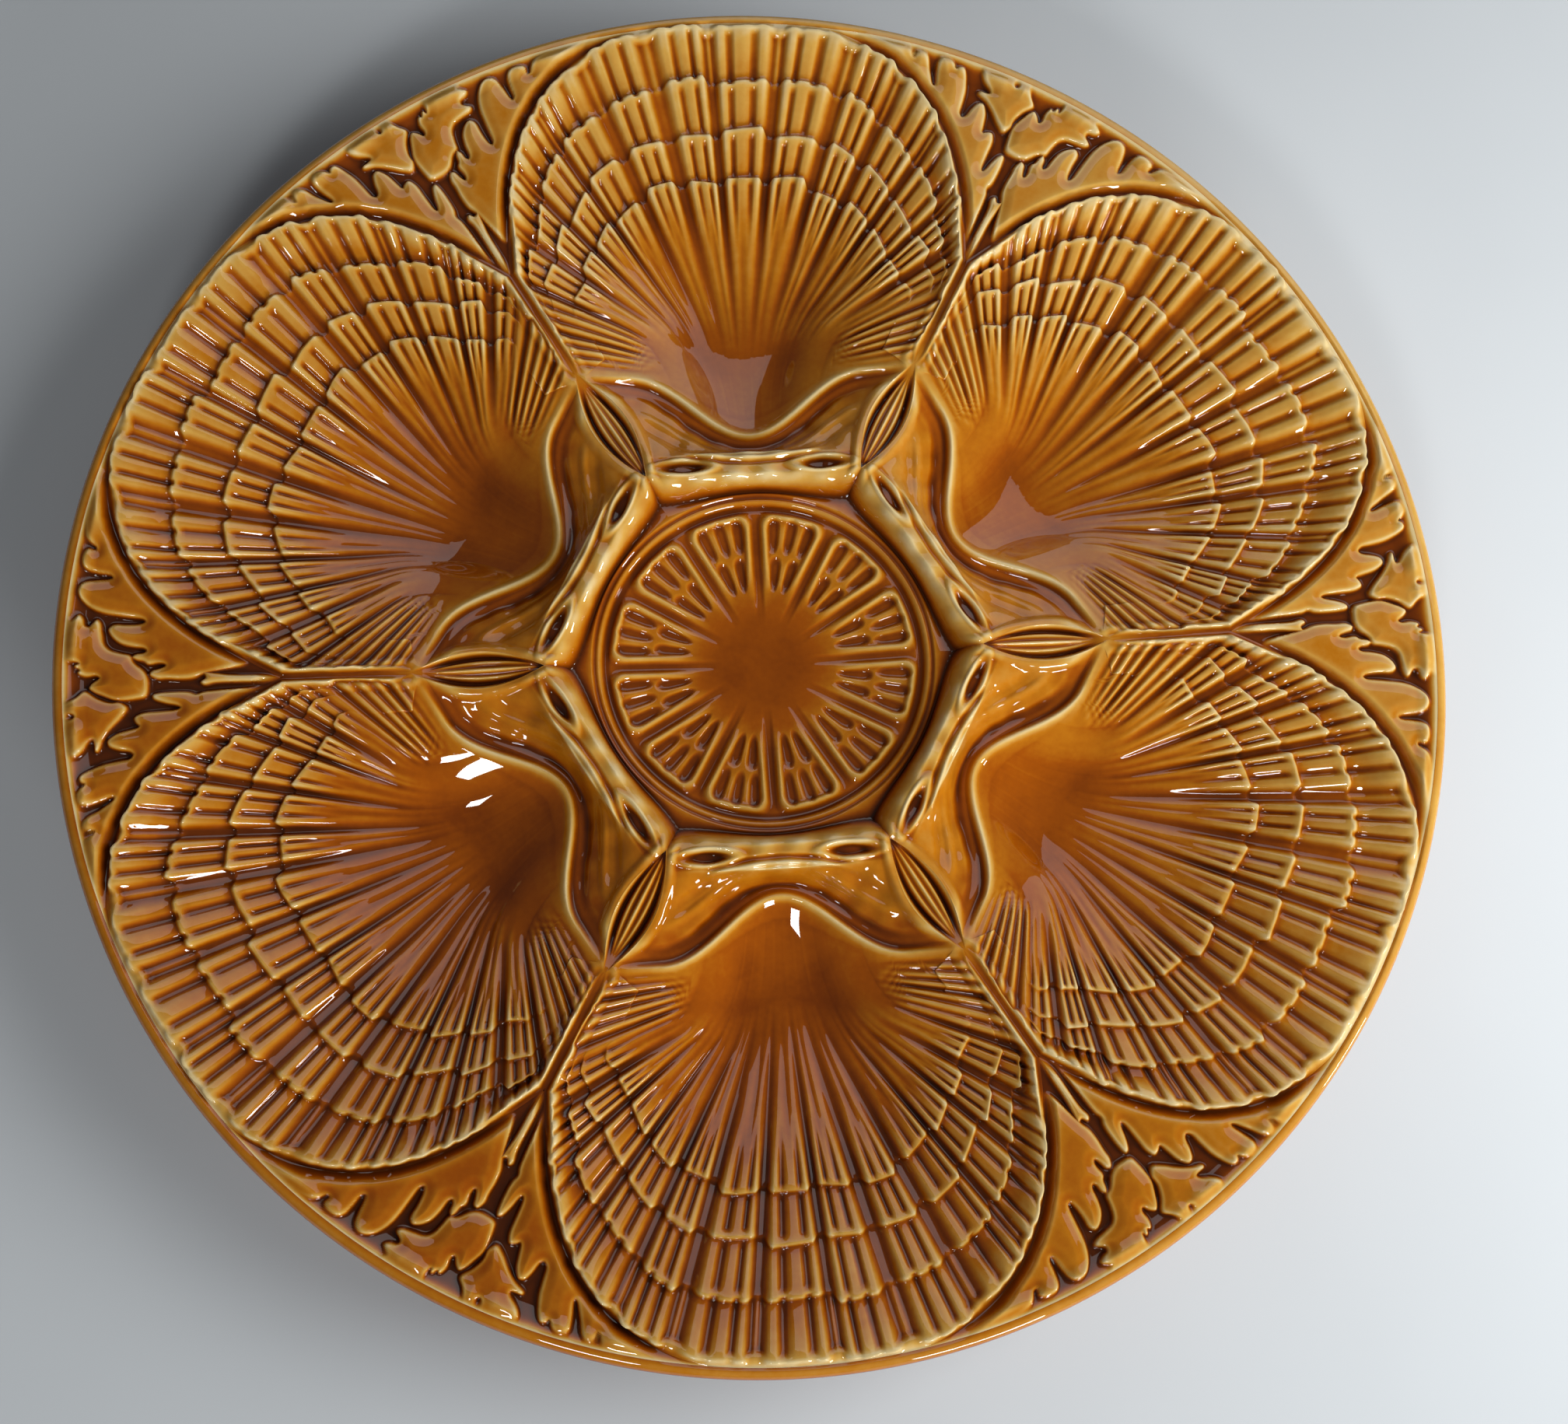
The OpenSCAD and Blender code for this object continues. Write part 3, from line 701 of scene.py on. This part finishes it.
def insideOf(x, y, outline):
    # signed distance to an outline, above zero inside it; far points keep a fixed distance
    close, p = rounded(outline)
    margin = 3
    low, high = p.min(0) - margin, p.max(0) + margin
    box = (x > low[0]) & (x < high[0]) & (y > low[1]) & (y < high[1])
    px, py = x[box], y[box]
    within = np.zeros(px.shape, bool)
    for (x0, y0), (x1, y1) in zip(p, np.roll(p, -1, axis=0)):
        if y0 != y1:
            within ^= ((y0 > py) != (y1 > py)) & (px < x0 + (py - y0) / (y1 - y0) * (x1 - x0))
    out = np.full(x.shape, -far)
    gap = gapTo(px, py, close)
    out[box] = np.where(within, gap, -gap)
    return out


def leafDepth(x, y):
    # how far in from the edge of a frond, below zero on the ground between the fronds
    start, end, drawn = weed["squeeze"]
    up = y + drawn * ease(start, end, y)
    return np.max([insideOf(x, up, outline) for outline in fronds], axis=0)


def frondHeight(inward):
    # a leaf with steep sides, slightly domed
    lift = weed["rise"] + weed["ground"]
    return lift * mix(ease(*weed["flank"], inward), ease(*weed["dome"], inward), weed["swell"])


def seaweedTop():
    edge = shellOutline()
    edge = edge[edge[:, 0] > 0]
    r = fromMiddle(edge)
    lean = np.degrees(np.arctan2(edge[:, 0], edge[:, 1]))
    free = (lean < half - 0.02) & (r < bandR - 1e-4)
    order = np.argsort(r[free])
    rise, turn = r[free][order], half - lean[free][order]
    (midR, innerCount), (endR, outerCount) = weed["rows"]
    rows = spread((rise[0], midR, innerCount), (midR, endR, outerCount))
    wide = np.interp(rows, rise, turn)[:, None]
    u = np.linspace(-1, 1, weed["columns"])[None, :]
    angle = wide * (0.62 * u + 0.38 * u ** 3)
    x = rows[:, None] * np.sin(np.radians(angle))
    y = rows[:, None] * np.cos(np.radians(angle))

    # fronds and palm on their ground, with both shells' edges seen from the line between them
    right = polar(r[free], half - lean[free])
    toShell = gapTo(x, y, np.concatenate([right, right * np.array([-1, 1])]))
    away = np.hypot(x, y)
    toRim = bandR - away
    leaf = frondHeight(leafDepth(x, y))
    base = land(away)
    ground = weed["ground"] * ease(*weed["groundFade"], toRim)
    z = base - ground + leaf * ease(*weed["leafFade"], toRim)
    low = base - grooveAt(half - np.abs(angle))
    z = mix(low, z, ease(*weed["bank"], toShell))
    z[:, [0, -1]] = low[:, [0, -1]]
    return np.stack([x, y, z], axis=-1)


def seaweedGlaze(top, thick):
    inward = leafDepth(top[..., 0], top[..., 1])
    toRim = bandR - fromMiddle(top)
    tone = weed["groundPool"] * ease(*weed["groundEdge"], inward)
    tone = tone + weed["leafPool"] * ease(*weed["leafEdge"], inward)
    tone = tone - weed["bare"] * ridge(inward, *weed["bareAt"])
    thick = thick + tone * ease(*weed["toneFade"], toRim)
    return thick + weed["rimPool"] * ease(*weed["rimEdge"], toRim)


# Lemon dish: a halved lemon in low relief
lemon = {
    "radius": 31.2,
    "centreHeight": 14,
    "edgeHeight": 16.6,
    "segments": 12,
    "spoke": 1.0,  # half the width of the groove between two segments
    "spokeDepth": 0.45,
    "spokeSide": (0.1, -0.7),
    "spokeFrom": (7, 17),
    "pulpR": 27.6,
    "corner": 2.4,  # rounding of a segment's outer corners
    "bead": 0.5,  # height of the bead round a segment
    "beadAt": (0.55, 0.75),
    "beadFrom": (11, 21),
    "cells": ((3, 23.8, 3.6, 18), (2, 16.7, 3.5, 11)),  # (count, middle, half length, fading from)
    "cellDepth": 0.55,
    "cellSide": (0.4, 1.05),
    "cellHalf": 0.4,  # share of its lane
    "cellFade": 5,
    "rindGroove": 0.25,
    "rindGrooveAt": (28.5, 0.9),
    "rind": 0.7,
    "rindAt": (29.9, 1.1),
    "rindEnd": 30.3,  # from here on the slope up to the collar
    "rows": ((0, 7, 6), (7, 13, 14), (13, 28, 74)),
    "rindRows": (28, 30),
    "columns": 721,
    "pool": 0.3,  # the glaze is thicker in the middle
    "poolTo": (5, 15),
}


def lemonTop():
    rindStart, rindCount = lemon["rindRows"]
    r = spread(*lemon["rows"], (rindStart, lemon["radius"], rindCount))[:, None]
    theta = np.linspace(0, 360, lemon["columns"])[None, :]
    wedge = 360 / lemon["segments"]
    off = (theta % wedge) - wedge / 2
    z = mix(lemon["centreHeight"], lemon["edgeHeight"], (r / lemon["radius"]) ** 2) + 0 * theta

    # each segment has a bead round it; a soft minimum rounds its outer corners
    beside = r * np.sin(np.radians(wedge / 2 - np.abs(off))) - lemon["spoke"]
    beyond = lemon["pulpR"] - r
    h = np.clip(0.5 + 0.5 * (beyond - beside) / lemon["corner"], 0, 1)
    inward = mix(beyond, beside, h) - lemon["corner"] * h * (1 - h)
    z = z + lemon["bead"] * ease(*lemon["beadFrom"], r) * ridge(inward, *lemon["beadAt"])
    z = z - lemon["spokeDepth"] * ease(*lemon["spokeFrom"], r) * ease(*lemon["spokeSide"], inward)

    # three outer cells and two inner ones in each segment
    lateral = r * np.sin(np.radians(off))
    room = np.maximum(0.5, 2 * (r * np.sin(np.radians(wedge / 2)) - lemon["spoke"] - 0.7))
    for count, middle, reach, fadeFrom in lemon["cells"]:
        lane = room / count
        for j in range(count):
            sideways = (lateral - (j - (count - 1) / 2) * lane) / (lemon["cellHalf"] * lane)
            ring = np.sqrt(((r - middle) / reach) ** 4 + sideways ** 2)
            shown = ease(fadeFrom, fadeFrom + lemon["cellFade"], r)
            z = z - lemon["cellDepth"] * fade(*lemon["cellSide"], ring) * shown

    # rind: a groove, a bead and the slope up to the collar
    z = z - lemon["rindGroove"] * ridge(r, *lemon["rindGrooveAt"])
    z = z + lemon["rind"] * ridge(r, *lemon["rindAt"])
    z = mix(z, collar["dishEdge"], ease(lemon["rindEnd"], lemon["radius"], r))
    return spun(r, theta, z)


def lemonGlaze(top, thick):
    return thick + lemon["pool"] * fade(*lemon["poolTo"], fromMiddle(top))


# Rim band: the plain rounded edge of the plate
rim = {
    "columns": 1081,
    "roundStart": 0.5,
    "roundPower": 0.8,
    "innerRows": 5,
    "roundRows": 21,
    "glaze": 0.36,
    "glazeGain": 0.15,  # share of the relief's glaze in the inner rows
    "gainRows": 12,
}


def rimTop(weedTop):
    # its inner side follows the ends of the seaweed and the groove round the shells
    last = weedTop[-1]
    weedAngle = np.degrees(np.arctan2(last[:, 0], last[:, 1])) + half
    theta = np.linspace(0, 360, rim["columns"])
    folded = theta % sector
    off = np.minimum(folded, sector - folded)
    weedZ = np.interp(folded, weedAngle, last[:, 2])
    seam = np.where(off < weedAngle[0], land(bandR) - grooveAt(off), weedZ)
    low = plate["rimHeight"] - plate["lip"]
    bulge = np.radians(np.linspace(90, -90, rim["roundRows"]))[:, None]
    flat = bandR + rim["roundStart"]
    r = flat + (plate["radius"] - flat) * np.cos(bulge) + 0 * theta
    arch = np.sign(np.sin(bulge)) * np.abs(np.sin(bulge)) ** rim["roundPower"]
    z = low + plate["lip"] / 2 + plate["lip"] / 2 * arch + 0 * theta
    inner = np.linspace(0, 1, rim["innerRows"] + 1)[:-1, None]
    r = np.concatenate([mix(bandR, flat, inner) + 0 * theta, r, [bandR + 0 * theta], [bandR + 0 * theta]])
    z = np.concatenate([mix(seam, plate["rimHeight"], ease(0, 1, inner)), z, [low + 0 * theta], [seam]])
    return spun(r, theta, z)


def rimGlaze(top, thick):
    row = np.arange(len(top))[:, None]
    return np.where(row < rim["gainRows"], rim["glaze"] + rim["glazeGain"] * thick, rim["glaze"])


# Glaze thickness: how far each point lies below the mean height round it, at three widths
glazeScales = ((0.4, 1.0), (0.9, 0.8), (2.5, 0.35))  # (width in mm, weight)
raster = {"cell": 0.25, "count": 1024}


def cellAreas(top):
    dr = np.gradient(top, axis=0)
    dc = np.gradient(top, axis=1)
    return np.abs(dr[..., 0] * dc[..., 1] - dr[..., 1] * dc[..., 0]) + 1e-6


def turned(points, degrees):
    a = np.radians(degrees)
    x, y = points[..., 0], points[..., 1]
    return np.stack([x * np.cos(a) - y * np.sin(a), x * np.sin(a) + y * np.cos(a), points[..., 2]], axis=-1)


def glazeFields(tops):
    # the surface's mean height over the whole plate, one raster for each width
    n = raster["count"]
    total = np.zeros(n * n)
    heights = np.zeros(n * n)
    for name, top in tops.items():
        area = cellAreas(top).ravel()
        for i in range(wells if name in pieces else 1):
            p = turned(top, turns.get(name, 0) - sector * i).reshape(-1, 3)
            cell = np.floor(p[:, :2] / raster["cell"] + n / 2).astype(int)
            index = cell[:, 1] * n + cell[:, 0]
            total += np.bincount(index, area, n * n)
            heights += np.bincount(index, area * p[:, 2], n * n)
    freq = np.fft.fftfreq(n, raster["cell"])
    squared = freq[:, None] ** 2 + freq[None, :] ** 2
    fields = []
    for width, weight in glazeScales:
        soft = np.exp(-2 * np.pi ** 2 * width ** 2 * squared)
        blurred = [np.fft.ifft2(np.fft.fft2(grid.reshape(n, n)) * soft).real for grid in (heights, total)]
        fields.append((weight, blurred[0] / np.maximum(blurred[1], 1e-4)))
    return fields


def glazeAt(points, fields):
    n = raster["count"]
    p = points[..., :2] / raster["cell"] + n / 2 - 0.5
    i = np.clip(np.floor(p).astype(int), 0, n - 2)
    fx, fy = np.moveaxis(p - i, -1, 0)
    column, row = i[..., 0], i[..., 1]
    out = np.zeros(points.shape[:-1])
    for weight, field in fields:
        near = mix(field[row, column], field[row, column + 1], fx)
        beyond = mix(field[row + 1, column], field[row + 1, column + 1], fx)
        out += weight * (mix(near, beyond, fy) - points[..., 2])
    return out


def faceOutward():
    bpy.ops.mesh.select_all(action="SELECT")
    bpy.ops.mesh.normals_make_consistent(inside=False)
    bpy.ops.object.mode_set(mode="OBJECT")


def reliefSheet(name, top, thick):
    # a grid of quads, laid on the worked-out points
    rows, columns = top.shape[:2]
    bpy.ops.object.select_all(action="DESELECT")
    bpy.ops.mesh.primitive_grid_add(x_subdivisions=columns - 1, y_subdivisions=rows - 1, size=1)
    piece = bpy.context.object
    piece.name = name
    piece.data.name = name
    piece.data.vertices.foreach_set("co", (top * mm).astype(np.float32).ravel())
    layer = piece.data.attributes.new("glaze", "FLOAT", "POINT")
    layer.data.foreach_set("value", thick.astype(np.float32).ravel())
    bpy.ops.object.mode_set(mode="EDIT")
    bpy.ops.mesh.select_all(action="SELECT")
    bpy.ops.mesh.remove_doubles(threshold=0.002 * mm)
    faceOutward()
    bpy.ops.object.shade_smooth()
    return piece


def closeUnderside(piece, middle, rings=6):
    # the border is drawn down to the underside, then in to the middle in rings
    mesh = piece.data
    topCount = len(mesh.vertices)
    bpy.ops.object.mode_set(mode="EDIT")
    bpy.ops.mesh.select_mode(type="EDGE")
    bpy.ops.mesh.select_all(action="SELECT")
    bpy.ops.mesh.region_to_loop()
    for ring in range(rings):
        if ring < 2:
            bpy.ops.mesh.mark_sharp()
        bpy.ops.mesh.extrude_region_move()
        bpy.ops.object.mode_set(mode="OBJECT")
        points = np.empty(len(mesh.vertices) * 3, np.float32)
        chosen = np.empty(len(mesh.vertices), bool)
        mesh.vertices.foreach_get("co", points)
        mesh.vertices.foreach_get("select", chosen)
        points = points.reshape(-1, 3)
        inward = 0 if ring == 0 else 1 / (rings + 1 - ring)
        spot = mix(points[chosen, :2] / mm, np.array(middle), inward)
        points[chosen, :2] = spot * mm
        points[chosen, 2] = under(fromMiddle(spot)) * mm
        mesh.vertices.foreach_set("co", points.ravel())
        bpy.ops.object.mode_set(mode="EDIT")
    bpy.ops.mesh.merge(type="CENTER")
    faceOutward()
    layer = mesh.attributes["glaze"].data
    values = np.zeros(len(layer), np.float32)
    layer.foreach_get("value", values)
    values[topCount:] = 0
    layer.foreach_set("value", values)


def hue(red, green, blue):
    # a colour as the eye names it, 0 to 255, made linear for the shader
    c = np.array([red, green, blue]) / 255
    lin = np.where(c <= 0.04045, c / 12.92, ((c + 0.055) / 1.055) ** 2.4)
    return (*lin.tolist(), 1.0)


class Wire:
    def __init__(self, tree, socket):
        self.tree = tree
        self.socket = socket

    def beside(self, output):
        # another output of the same node
        return Wire(self.tree, self.socket.node.outputs[output])

    def maths(self, operation, other, swap=False):
        pair = (other, self) if swap else (self, other)
        return self.tree.node("ShaderNodeMath", {"operation": operation}, {0: pair[0], 1: pair[1]})

    def __add__(self, other):
        return self.maths("ADD", other)

    def __sub__(self, other):
        return self.maths("SUBTRACT", other)

    def __rsub__(self, other):
        return self.maths("SUBTRACT", other, True)

    def __mul__(self, other):
        return self.maths("MULTIPLY", other)


class Finish:
    def __init__(self, name):
        self.material = bpy.data.materials.new(name)
        self.material.use_nodes = True
        self.nodes = self.material.node_tree.nodes
        self.links = self.material.node_tree.links
        self.shader = self.nodes["Principled BSDF"]

    def node(self, kind, settings=None, inputs=None, output=0):
        made = self.nodes.new(kind)
        for key, value in (settings or {}).items():
            setattr(made, key, value)
        self.fill(made, inputs or {})
        return Wire(self, made.outputs[output])

    def fill(self, made, inputs):
        for key, value in inputs.items():
            if isinstance(value, Wire):
                self.links.new(value.socket, made.inputs[key])
            else:
                made.inputs[key].default_value = value

    def inMm(self):
        place = self.node("ShaderNodeTexCoord", output=3)
        return self.node("ShaderNodeVectorMath", {"operation": "SCALE"}, {0: place, "Scale": 1 / mm})

    def noise(self, place, scale, detail, roughness=0.5):
        inputs = {"Vector": place, "Scale": scale, "Detail": detail, "Roughness": roughness}
        return self.node("ShaderNodeTexNoise", None, inputs)

    def bump(self, height, distance, strength):
        inputs = {"Height": height, "Distance": distance, "Strength": strength}
        return self.node("ShaderNodeBump", None, inputs)

    def tone(self, level, stops):
        made = self.node("ShaderNodeValToRGB", None, {"Fac": level})
        elements = made.socket.node.color_ramp.elements
        while len(elements) < len(stops):
            elements.new(0.5)
        for element, (place, colour) in zip(elements, stops):
            element.position = place
            element.color = hue(*colour)
        return made


glazeLook = {
    "stops": (
        (0.0, (228, 204, 148)), (0.2, (212, 165, 78)), (0.42, (188, 116, 18)), (0.56, (160, 80, 4)),
        (0.7, (126, 57, 3)), (0.85, (98, 42, 4)), (1.0, (76, 32, 4)),
    ),
    "gain": 0.41,  # how strongly the relief thins and gathers the glaze
    "level": 0.42,
    "pool": 0.14,  # how much thicker it lies at the bottom of a well
    "poolDepth": 17,
    "frontLeftGain": (-0.0006, -0.0007),  # and darker towards the front and the left, per millimetre
    "cloud": 0.2,
    "grain": 0.07,
    "waveHeight": 0.00011,  # gentle waves in its surface
}


def amberGlaze():
    look = Finish("amberGlaze")
    place = look.inMm()
    across = look.node("ShaderNodeSeparateXYZ", None, {0: place})
    along = across.beside(1)
    height = across.beside(2)
    thick = look.node("ShaderNodeAttribute", {"attribute_name": "glaze"}, output=2)
    cloud = look.noise(place, 0.1, 4.0, 0.6)
    grain = look.noise(place, 0.9, 3.0)
    pooled = (plate["rimHeight"] - height) * (glazeLook["pool"] / glazeLook["poolDepth"])
    # the colour darkens towards the front and the left of the plate
    darkerFrontLeft = across * glazeLook["frontLeftGain"][0] + along * glazeLook["frontLeftGain"][1]
    mottle = (cloud - 0.5) * glazeLook["cloud"] + (grain - 0.5) * glazeLook["grain"]
    level = thick * glazeLook["gain"] + pooled + darkerFrontLeft + mottle + glazeLook["level"]
    waves = look.noise(place, 0.22, 2.0)
    look.fill(look.shader, {
        "Base Color": look.tone(level, glazeLook["stops"]),
        "Roughness": 0.5,
        "Normal": look.bump(waves, glazeLook["waveHeight"], 1.0),
        "Specular IOR Level": 0.0,
        "Coat Weight": 1.0,
        "Coat Roughness": 0.02,
        "Coat IOR": 1.52,
    })
    return look.material


clayLook = {
    "stops": ((0.3, (196, 166, 128)), (0.7, (222, 198, 162))),
    "grainHeight": 0.0002,
}


def bareClay():
    look = Finish("bareClay")
    grain = look.noise(look.inMm(), 1.6, 5.0)
    look.fill(look.shader, {
        "Base Color": look.tone(grain, clayLook["stops"]),
        "Roughness": 0.85,
        "Normal": look.bump(grain, clayLook["grainHeight"], 0.5),
    })
    return look.material


glaze = amberGlaze()
clay = bareClay()


def settle(piece, node, material):
    piece.data.materials.clear()
    piece.data.materials.append(material)
    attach(piece, "root")
    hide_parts(node)


# The pieces that are repeated round the plate: (name, values, surface, what the glaze does there)
pieces = {
    "shell_well": ("shellWell", shell, shellTop(), shellGlaze),
    "collar": ("collarSide", collar, collarTop(), collarGlaze),
    "bud": ("budSpindle", bud, budTop(), None),
    "seaweed": ("seaweedFrond", weed, seaweedTop(), seaweedGlaze),
}
turns = {"bud": -half, "seaweed": -half}  # these lie between two shells
tops = {name: piece[2] for name, piece in pieces.items()}
dish = lemonTop()
rimSheet = rimTop(tops["seaweed"])
print("relief:", {name: top.shape[:2] for name, top in tops.items()})

# The glaze is worked out with every piece in its place, so that it runs on across their joints
rimFace = rimSheet[:rim["innerRows"] + rim["roundRows"]]
fields = glazeFields({**tops, "lemon_dish": dish, "rim_band": rimFace})
for name, (label, values, top, adjust) in pieces.items():
    turn = turns.get(name, 0)
    thick = glazeAt(turned(top, turn), fields)
    if adjust:
        thick = adjust(top, thick)
    piece = reliefSheet(name, top, thick)
    closeUnderside(piece, values["middle"])
    for i in range(wells - 1, -1, -1):
        copy = piece
        if i > 0:
            copy = bpy.data.objects.new(name, piece.data.copy())
            scene.collection.objects.link(copy)
        copy.data.transform(Matrix.Rotation(np.radians(turn - sector * i), 4, "Z"))
        copy.name = f"{label}{i + 1}"
        settle(copy, f"{name}_{i + 1}", glaze)
    print(name, "made:", len(piece.data.polygons), "faces each")

lemonDish = reliefSheet("lemon_dish", dish, lemonGlaze(dish, glazeAt(dish, fields)))
closeUnderside(lemonDish, (0, 0))
lemonDish.name = "lemonDish"
settle(lemonDish, "lemon_dish", glaze)
rimBand = reliefSheet("rimBand", rimSheet, rimGlaze(rimSheet, glazeAt(rimSheet, fields)))
settle(rimBand, "rim_band", glaze)
print("lemon dish and rim made")

# Foot ring: bare clay where it stands
foot = {
    "footD": 120,
    "footWidth": 4,
    "splay": 1.2,
    "rounding": 0.6,
    "columns": 361,
}


def footTop():
    theta = np.linspace(0, 360, foot["columns"])
    inner = (foot["footD"] - foot["footWidth"]) / 2
    outer = (foot["footD"] + foot["footWidth"]) / 2
    corner = foot["rounding"]
    quarter = np.linspace(0, np.pi / 2, 6)
    profile = [(inner - foot["splay"], footHeight)]
    profile += [(inner + corner - corner * np.sin(q), corner - corner * np.cos(q)) for q in quarter[::-1]]
    profile += [(outer - corner + corner * np.sin(q), corner - corner * np.cos(q)) for q in quarter]
    profile += [(outer + foot["splay"], footHeight), profile[0]]
    profile = np.array(profile)
    return spun(profile[:, :1], theta[None, :], profile[:, 1:])


footSheet = footTop()
footRing = reliefSheet("footRing", footSheet, np.zeros(footSheet.shape[:2]))
settle(footRing, "foot_ring", clay)
print("foot ring made")

# Floor: pale paper
paperStops = ((0.3, (212, 219, 225)), (0.7, (217, 224, 230)))
bpy.ops.object.select_all(action="DESELECT")
bpy.ops.mesh.primitive_plane_add(size=4)
floor = bpy.context.object
floor.name = "paperFloor"
paper = Finish("palePaper")
paperCloud = paper.noise(paper.node("ShaderNodeTexCoord", output=3), 9.0, 3.0)
paperTone = paper.tone(paperCloud, paperStops)
paper.fill(paper.shader, {"Base Color": paperTone, "Roughness": 0.8, "Specular IOR Level": 0.2})
floor.data.materials.append(paper.material)

# Light: a soft lamp above on the right, three low windows and a grey wall that only shows in the glaze
warmWhite = (1.0, 0.985, 0.96)
coolWhite = (0.95, 0.97, 1.0)
lamps = (  # (name, place, size, power, colour)
    ("softLamp", (0.34, -0.06, 0.3), (0.3, 0.3), 1.65, warmWhite),
    ("frontWindow", (0.45, -1.25, 0.36), (0.3, 0.24), 6.5, warmWhite),
    ("leftWindow", (-0.3, -0.97, 0.8), (0.18, 0.18), 3, warmWhite),
    ("rightWindow", (1.15, -0.6, 0.22), (0.16, 0.2), 2.6, warmWhite),
    ("greyWall", (0.4, 0.86, 0.74), (1.3, 1.28), 6.5, coolWhite),
)
for name, spot, size, power, colour in lamps:
    bpy.ops.object.light_add(type="AREA", location=spot)
    lamp = bpy.context.object
    lamp.name = name
    lamp.data.shape = "RECTANGLE"
    lamp.data.size, lamp.data.size_y = size
    lamp.data.energy = power
    lamp.data.color = colour
    lamp.rotation_euler = (-Vector(spot)).to_track_quat("-Z", "Y").to_euler()
    lamp.visible_camera = False
    lamp.visible_glossy = name != "softLamp"
    lamp.visible_diffuse = name != "greyWall"

world = bpy.data.worlds.new("room")
scene.world = world
world.use_nodes = True
background = world.node_tree.nodes["Background"]
background.inputs["Color"].default_value = (*coolWhite, 1)
background.inputs["Strength"].default_value = 0.08
print("floor and light made")

# Camera: where the photograph was taken from
view = {
    "spot": (-24.7, -71.8, 339.5),
    "right": (0.9952, -0.0664, 0.0723),
    "up": (0.0514, 0.9799, 0.1927),
    "lens": 42.14,
}
lensData = bpy.data.cameras.new("camera")
lensData.sensor_width = 36
lensData.sensor_fit = "HORIZONTAL"
lensData.lens = view["lens"]
lensData.clip_start = 0.01
camera = bpy.data.objects.new("camera", lensData)
scene.collection.objects.link(camera)
xAxis = Vector(view["right"]).normalized()
zAxis = xAxis.cross(Vector(view["up"])).normalized()
yAxis = zAxis.cross(xAxis)
turnTo = Matrix((xAxis, yAxis, zAxis)).transposed().to_4x4()
camera.matrix_world = Matrix.Translation(Vector(view["spot"]) * mm) @ turnTo
scene.camera = camera
scene.view_settings.view_transform = "Standard"
